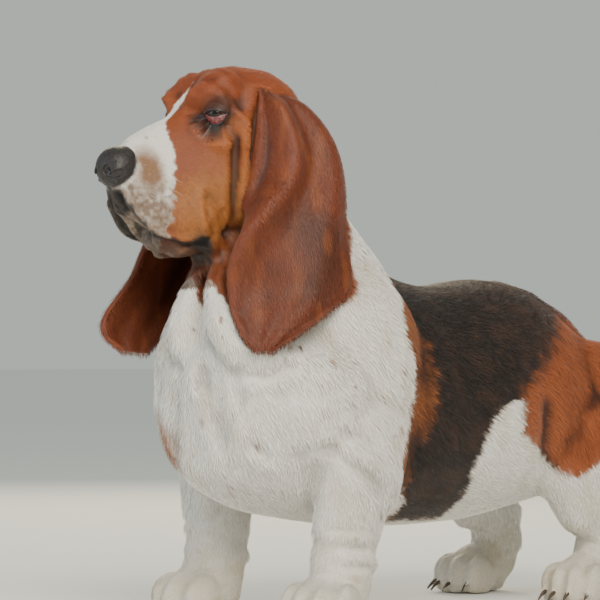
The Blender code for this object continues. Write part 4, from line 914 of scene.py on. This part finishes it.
def mapAt(proxy, points):
    tree = BVHTree.FromObject(proxy, bpy.context.evaluated_depsgraph_get())
    faces, nearest = np.empty(len(points), int), np.empty((len(points), 3))
    for i, point in enumerate(points):
        place, _, faces[i], _ = tree.find_nearest(Vector(point))
        nearest[i] = place
    corners = np.empty(len(proxy.data.loops), int)
    proxy.data.loops.foreach_get("vertex_index", corners)
    corners = placesOf(proxy)[corners.reshape(-1, 3)[faces]]
    uvs = np.empty(len(proxy.data.loops) * 2)
    proxy.data.uv_layers.active.data.foreach_get("uv", uvs)
    uvs = uvs.reshape(-1, 3, 2)[faces]
    a, b, c = corners[:, 1] - corners[:, 0], corners[:, 2] - corners[:, 0], nearest - corners[:, 0]
    aa, ab, bb, ca, cb = ((p * q).sum(1) for p, q in ((a, a), (a, b), (b, b), (c, a), (c, b)))
    scale = np.maximum(aa * bb - ab * ab, 1e-20)
    v, w = (bb * ca - ab * cb) / scale, (aa * cb - ab * ca) / scale
    return uvs[:, 0] * (1 - v - w)[:, None] + uvs[:, 1] * v[:, None] + uvs[:, 2] * w[:, None]


def hollows(flesh):  # metres below the surface round about, above 0 in a fold and below 0 on a ridge
    copy = linked("copy", flesh.data.copy())
    apply(copy, "SMOOTH", factor=0.5, iterations=24)
    hollow = ((placesOf(copy) - placesOf(flesh)) * normalsOf(flesh)).sum(1)
    bpy.data.objects.remove(copy)
    return hollow


def paintedFoldShadeAndRidgeLight(colours, hollow):  # painted shade: hair darker down in a fold; painted highlight: paler on a ridge
    pale = ramp(colours.mean(1), 0.25, 0.6)
    dark = ramp(hollow, 0.00008, 0.0011) * (0.72 - 0.56 * pale)
    light = ramp(-hollow, 0.0001, 0.0009) * 0.22 * (1 - pale)
    foldShadeTint = np.array([0.86, 0.76, 0.6])
    return np.clip(colours * (1 - dark)[:, None] ** (1 + 0.5 * (1 - foldShadeTint)) * (1 + light)[:, None], 0, 1)


def rootsOn(flesh, hollow, count):  # spread by the coat's own density
    rng = np.random.default_rng(12)
    corners = np.empty(len(flesh.data.loops), int)
    flesh.data.loops.foreach_get("vertex_index", corners)
    corners = corners.reshape(-1, 3)
    places, normals = placesOf(flesh), normalsOf(flesh)
    a, b, c = (places[corners[:, k]] for k in range(3))
    middle = (a + b + c) / 3
    area = np.linalg.norm(np.cross(b - a, c - a), axis=1) / 2
    _, long, wide = lieOfCoat(middle)
    weight = area / (long * wide) * (1 - bareness(middle)) * (middle[:, 2] > 0.0045)
    total = np.cumsum(weight)
    wanted = (np.arange(count) + rng.random(count)) * total[-1] / count
    faces = np.minimum(np.searchsorted(total, wanted), len(total) - 1)
    u, v = rng.random(count), rng.random(count)
    u, v = np.where(u + v > 1, 1 - u, u), np.where(u + v > 1, 1 - v, v)
    shares = np.stack([1 - u - v, u, v], axis=1)
    roots = (places[corners[faces]] * shares[:, :, None]).sum(1)
    ways = unit((normals[corners[faces]] * shares[:, :, None]).sum(1))
    hollow = (hollow[corners[faces]] * shares).sum(1)
    keep = bareness(roots) < 0.4
    return roots[keep], ways[keep], hollow[keep]


def tuftPiece(name, parts, colours, normals, patch):  # parts: five points of each tuft
    count = len(parts)
    mesh = bpy.data.meshes.new(name)
    mesh.vertices.add(count * 5)
    mesh.vertices.foreach_set("co", parts.reshape(-1))
    pattern = np.array([(0, 1, 3), (0, 3, 2), (0, 2, 1), (4, 3, 1), (4, 2, 3), (4, 1, 2)])
    corners = (pattern[None] + 5 * np.arange(count)[:, None, None]).reshape(-1)
    mesh.loops.add(len(corners))
    mesh.loops.foreach_set("vertex_index", corners)
    mesh.polygons.add(count * 6)
    mesh.polygons.foreach_set("loop_start", np.arange(count * 6) * 3)
    mesh.update(calc_edges=True)
    mesh.attributes.new("coat", "FLOAT_COLOR", "POINT").data.foreach_set("color", colours.reshape(-1))
    shape = np.array([(-0.0015, 0), (0, -0.0015), (0, 0.0015), (0.0003, 0), (0.0015, 0)])
    uvs = (patch[:, None, :] + shape[None]).reshape(-1, 2)
    mesh.uv_layers.new(name="OFBake").data.foreach_set("uv", uvs[corners].reshape(-1))
    mesh.polygons.foreach_set("use_smooth", np.ones(count * 6, bool))
    mesh.normals_split_custom_set_from_vertices(normals.reshape(-1, 3))
    return linked(name, mesh)


def growCoat(flesh, sheets, hollow):
    rng = np.random.default_rng(77)
    roots, up, hollow = rootsOn(flesh, hollow, coat["tufts"])
    count = len(roots)
    way, long, wide = lieOfCoat(roots)
    way = unit(way - up * (way * up).sum(1)[:, None])
    side = np.cross(up, way)
    turn = rng.normal(0, coat["wild"], count) + coat["swirl"] * mottle(roots, 0.024, 31)
    way = way * np.cos(turn)[:, None] + side * np.sin(turn)[:, None]
    side = np.cross(up, way)
    long = long * rng.uniform(0.7, 1.2, count) * nearEyes(roots)
    wide = wide * rng.uniform(0.65, 1.1, count)
    depth = coatDepth(roots) * rng.uniform(0.5, 1.1, count) * coat["lift"] * 1.6
    tips = roots + way * long[:, None] + up * depth[:, None]
    middle = roots + way * (long * 0.36)[:, None] + up * (depth * 0.62)[:, None]
    half = side * (wide / 2)[:, None]
    parts = np.stack([roots - up * 0.0004, middle - half, middle + half,
                      middle + up * (wide * 0.32)[:, None], tips], axis=1)
    parts[:, :, 2] = np.maximum(parts[:, :, 2], 0.0006)
    onEar = nearSheets(roots, sheets)
    # the tufts get painted shade in folds and a painted highlight on ridges
    colours = paintedFoldShadeAndRidgeLight(coatColours(roots + way * (long * 0.5)[:, None], onEar), hollow)
    pale = ramp(colours.mean(1), 0.25, 0.6)
    bright = 1 + rng.normal(0, coat["shade"], count) * (1 - 0.65 * pale)
    tone = colours * np.clip(bright, 0.6, 1.4)[:, None]
    # painted shade at each tuft's root and a painted highlight towards its tip
    paintedRootShadeTipLight = np.array([0.62, 0.95, 0.95, 1.02, 1.12]) ** (1 - 0.7 * pale)[:, None]
    full = np.ones((count, 5, 4))
    full[:, :, :3] = np.clip(tone[:, None, :] * paintedRootShadeTipLight[:, :, None], 0, 1)
    leaning = unit(up - way * 0.15)
    bent = np.stack([up, unit(leaning - side * 0.45), unit(leaning + side * 0.45), leaning, leaning], axis=1)
    proxy = unwrapped(flesh)
    patch = mapAt(proxy, roots)
    bpy.data.objects.remove(proxy)
    order = np.argsort(roots[:, 0] + 0.15 * roots[:, 2])
    pieces = []
    for i, own in enumerate(np.array_split(order, coat["pieces"])):
        pieces.append(tuftPiece(f"coatTufts{i + 1}", parts[own], full[own], bent[own], patch[own]))
    return pieces


def nearEyes(points):  # the hair gets short round the lids
    share = np.ones(len(points))
    for side in (1, -1):
        away = farFrom(points, eyeAxes(side)[0])
        share = np.minimum(share, 0.42 + 0.58 * ramp(away, 0.014, 0.026))
    return share


def nearSheets(points, sheets):  # 1 on the ears
    out = np.zeros(len(points))
    close = np.nonzero((points[:, 0] < -0.17) & (points[:, 2] > 0.25) & (np.abs(points[:, 1]) > 0.03))[0]
    for i in close:
        for tree in sheets:
            if tree.find_nearest(Vector(points[i]), 0.0012)[0] is not None:
                out[i] = 1
    return out


# Materials
def stored(tree, name):
    return addNode(tree, "ShaderNodeAttribute", {"attribute_name": name}).outputs


def coatHair():  # short dog hair, a little oily: a broad soft shine along the tufts
    material, tree, shader = newMaterial("short dog hair", Roughness=0.48, Specular_IOR_Level=0.42,
                                         Sheen_Weight=0.12, Sheen_Roughness=0.4)
    tree.links.new(stored(tree, "coat")["Color"], shader.inputs["Base Color"])
    return material


def coatSkin():  # the undercoat between the tufts, and the wet bare lips and lid rims
    material, tree, shader = newMaterial("undercoat on skin, lips bare and wet", Sheen_Weight=0.15,
                                         Sheen_Roughness=0.4)
    place = addNode(tree, "ShaderNodeTexCoord").outputs["Object"]
    streaks = addNode(tree, "ShaderNodeMapping", {"Scale": (1.0, 1.0, 0.35)}, Vector=place).outputs["Vector"]
    grain = {"Scale": 900.0, "Detail": 2.0}
    noise = addNode(tree, "ShaderNodeTexNoise", grain, Vector=streaks).outputs["Fac"]
    bare = stored(tree, "bare")["Fac"]
    darker = addNode(tree, "ShaderNodeMix", {"data_type": "RGBA", "blend_type": "MULTIPLY", "Factor": 0.35})
    tree.links.new(stored(tree, "coat")["Color"], darker.inputs[6])
    tree.links.new(noise, darker.inputs[7])
    lips = addNode(tree, "ShaderNodeMix", {"data_type": "RGBA"})
    tree.links.new(bare, lips.inputs[0])
    tree.links.new(darker.outputs[2], lips.inputs[6])
    lips.inputs[7].default_value = (*linear(shades["lip"]), 1)
    tree.links.new(lips.outputs[2], shader.inputs["Base Color"])
    rough = addNode(tree, "ShaderNodeMapRange", {"To Min": 0.6, "To Max": 0.22}, Value=bare).outputs["Result"]
    tree.links.new(rough, shader.inputs["Roughness"])
    bump = addNode(tree, "ShaderNodeBump", {"Strength": 0.5, "Distance": 0.0006}, Height=noise)
    tree.links.new(bump.outputs["Normal"], shader.inputs["Normal"])
    return material


def noseLeather():  # dark pebbled leather with a wet shine
    material, tree, shader = newMaterial("nose leather", Roughness=0.5, Specular_IOR_Level=0.45,
                                         Coat_Weight=0.06, Coat_Roughness=0.3)
    place = addNode(tree, "ShaderNodeTexCoord").outputs["Object"]
    cells = addNode(tree, "ShaderNodeTexVoronoi", {"Scale": 620.0}, Vector=place).outputs["Distance"]
    ramped = addNode(tree, "ShaderNodeValToRGB", None, Fac=cells)
    ramped.color_ramp.elements[0].color = (*linear("#2d2827"), 1)
    ramped.color_ramp.elements[1].color = (*linear("#0f0c0c"), 1)
    tree.links.new(ramped.outputs["Color"], shader.inputs["Base Color"])
    bump = addNode(tree, "ShaderNodeBump", {"Strength": 0.45, "Distance": 0.0004}, Height=cells)
    bump.invert = True
    tree.links.new(bump.outputs["Normal"], shader.inputs["Normal"])
    return material


def eyeGlass():  # iris and pupil under the wet cornea
    material, tree, shader = newMaterial("wet brown eye", Roughness=0.07, Specular_IOR_Level=0.35,
                                         Coat_Weight=0.15, Coat_Roughness=0.03)
    ramped = addNode(tree, "ShaderNodeValToRGB", None, Fac=stored(tree, "off")["Fac"])
    bands = ((0.0, "#060404"), (eyes["pupil"] / 90, "#080505"), (eyes["pupil"] / 90 + 0.02, "#241007"),
             (eyes["iris"] / 90 - 0.05, "#30180b"), (eyes["iris"] / 90, "#0d0705"),
             (eyes["iris"] / 90 + 0.05, "#3c2420"), (0.62, "#5e3d38"))
    ramped.color_ramp.elements.remove(ramped.color_ramp.elements[1])
    for place, code in bands:
        element = ramped.color_ramp.elements[0] if place == 0.0 else ramped.color_ramp.elements.new(place)
        element.color = (*linear(code), 1)
    tree.links.new(ramped.outputs["Color"], shader.inputs["Base Color"])
    return material


def wetLining():  # the haw: raw pink-red and wet
    material, tree, shader = newMaterial("wet pink haw", Roughness=0.22, Subsurface_Weight=0.15,
                                         Coat_Weight=0.3, Coat_Roughness=0.08)
    place = addNode(tree, "ShaderNodeTexCoord").outputs["Object"]
    noise = addNode(tree, "ShaderNodeTexNoise", {"Scale": 420.0, "Detail": 3.0}, Vector=place).outputs["Fac"]
    ramped = addNode(tree, "ShaderNodeValToRGB", None, Fac=noise)
    ramped.color_ramp.elements[0].position, ramped.color_ramp.elements[1].position = 0.35, 0.65
    ramped.color_ramp.elements[0].color = (*linear("#592825"), 1)
    ramped.color_ramp.elements[1].color = (*linear("#935255"), 1)
    tree.links.new(ramped.outputs["Color"], shader.inputs["Base Color"])
    return material


def plain(name, code, roughness):  # one even colour, for claw, whisker and floor
    material, _, _ = newMaterial(name, Base_Color=(*linear(code), 1), Roughness=roughness)
    return material


# Building
flesh = makeFlesh()
thin(flesh, skin["triangles"])
print("flesh:", len(flesh.data.polygons))
pair = [makeEar("earLeft", ears["left"], 1, flesh), makeEar("earRight", ears["right"], -1, flesh)]
sheets = growEars(flesh, pair)
makeLids(flesh)
apply(flesh, "TRIANGULATE")
smoothShaded(flesh)
print("skin:", len(flesh.data.polygons), "triangles")

points, hollow = placesOf(flesh), hollows(flesh)
skinColoursWithPaintedShade = np.ones((len(points), 4))
# the undercoat is painted a tenth darker as painted shade under the tufts, over the painted fold shade and
# ridge highlight
skinColoursWithPaintedShade[:, :3] = paintedFoldShadeAndRidgeLight(coatColours(points, nearSheets(points, sheets)), hollow) * 0.9
flesh.data.attributes.new("coat", "FLOAT_COLOR", "POINT").data.foreach_set("color", skinColoursWithPaintedShade.ravel())
flesh.data.attributes.new("bare", "FLOAT", "POINT").data.foreach_set("value", bareness(points))
print("markings done")

tufts = growCoat(flesh, sheets, hollow)
print("coat:", sum(len(piece.data.polygons) for piece in tufts), "triangles")

eyePieces = [eyeball("eyeLeft", 1), eyeball("eyeRight", -1)]
haws = [haw("hawLeft", 1), haw("hawRight", -1)]
leather = makeNose()
clawPiece = makeClaws()
whiskerPiece = makeWhiskers(BVHTree.FromObject(flesh, bpy.context.evaluated_depsgraph_get()))
print("eyes, nose, claws and whiskers done")

hairMaterial, eyeMaterial, hawMaterial = coatHair(), eyeGlass(), wetLining()
fleshNodes = ("head", "lower_jaw", "ear_left", "ear_right", "neck", "torso", "foreleg_left", "foreleg_right",
              "hindleg_left", "hindleg_right", "tail")
finished = [(flesh, coatSkin(), fleshNodes, "body_coat"), (leather, noseLeather(), ("nose",), "nose_leather"),
            (eyePieces[0], eyeMaterial, ("eye_left",), "eye"),
            (eyePieces[1], eyeMaterial, ("eye_right",), "eye"),
            (haws[0], hawMaterial, ("eye_left",), "eye"), (haws[1], hawMaterial, ("eye_right",), "eye"),
            (clawPiece, plain("dark claw horn", "#4a3d33", 0.38), fleshNodes[5:10], "nose_leather"),
            (whiskerPiece, plain("pale whisker", "#cfc6b8", 0.4), ("head",), "pale_coat")]
finished += [(piece, hairMaterial, fleshNodes, "body_coat") for piece in tufts]
for piece, material, nodes, slotName in finished:
    piece.data.materials.clear()
    piece.data.materials.append(material)
    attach(piece, "root")
    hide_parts(*nodes)

# A plain pale studio: place, target, size, power and colour of each light
studio = {
    "floor": "#f0f1ee", "walls": "#d6ddd6", "strength": 0.75,
    "key": ((-1.6, -2.2, 2.2), (-0.1, 0, 0.28), 1.8, 122, "#fff4e6"),
    "fill": ((-2.8, 1.2, 1.2), (-0.2, 0, 0.35), 2.2, 26, "#e6f0ff"),
    "rim": ((1.6, 1.9, 1.7), (0, 0, 0.35), 1.4, 42, "#ffe9c8"),
}
bpy.ops.mesh.primitive_plane_add(size=120, location=(0, 0, 0))
floor = bpy.context.object
floor.name = "floor"
floor.data.materials.append(plain("pale painted floor", studio["floor"], 0.85))

world = bpy.data.worlds.new("studio")
bpy.context.scene.world = world
world.use_nodes = True
world.node_tree.nodes["Background"].inputs["Color"].default_value = (*linear(studio["walls"]), 1)
world.node_tree.nodes["Background"].inputs["Strength"].default_value = studio["strength"]

for name in ("key", "fill", "rim"):
    place, target, size, power, code = studio[name]
    lamp = bpy.data.lights.new(name, "AREA")
    lamp.size, lamp.energy, lamp.color = size, power, linear(code)
    light = linked(name, lamp)
    light.location = place
    light.rotation_euler = (Vector(target) - Vector(place)).to_track_quat("-Z", "Y").to_euler()

viewer = linked("camera", bpy.data.cameras.new("camera"))
viewer.location = camera["place"]
viewer.rotation_euler = Vector(camera["look"]).to_track_quat("-Z", "Y").to_euler()
viewer.data.lens = camera["lens"]
bpy.context.scene.camera = viewer
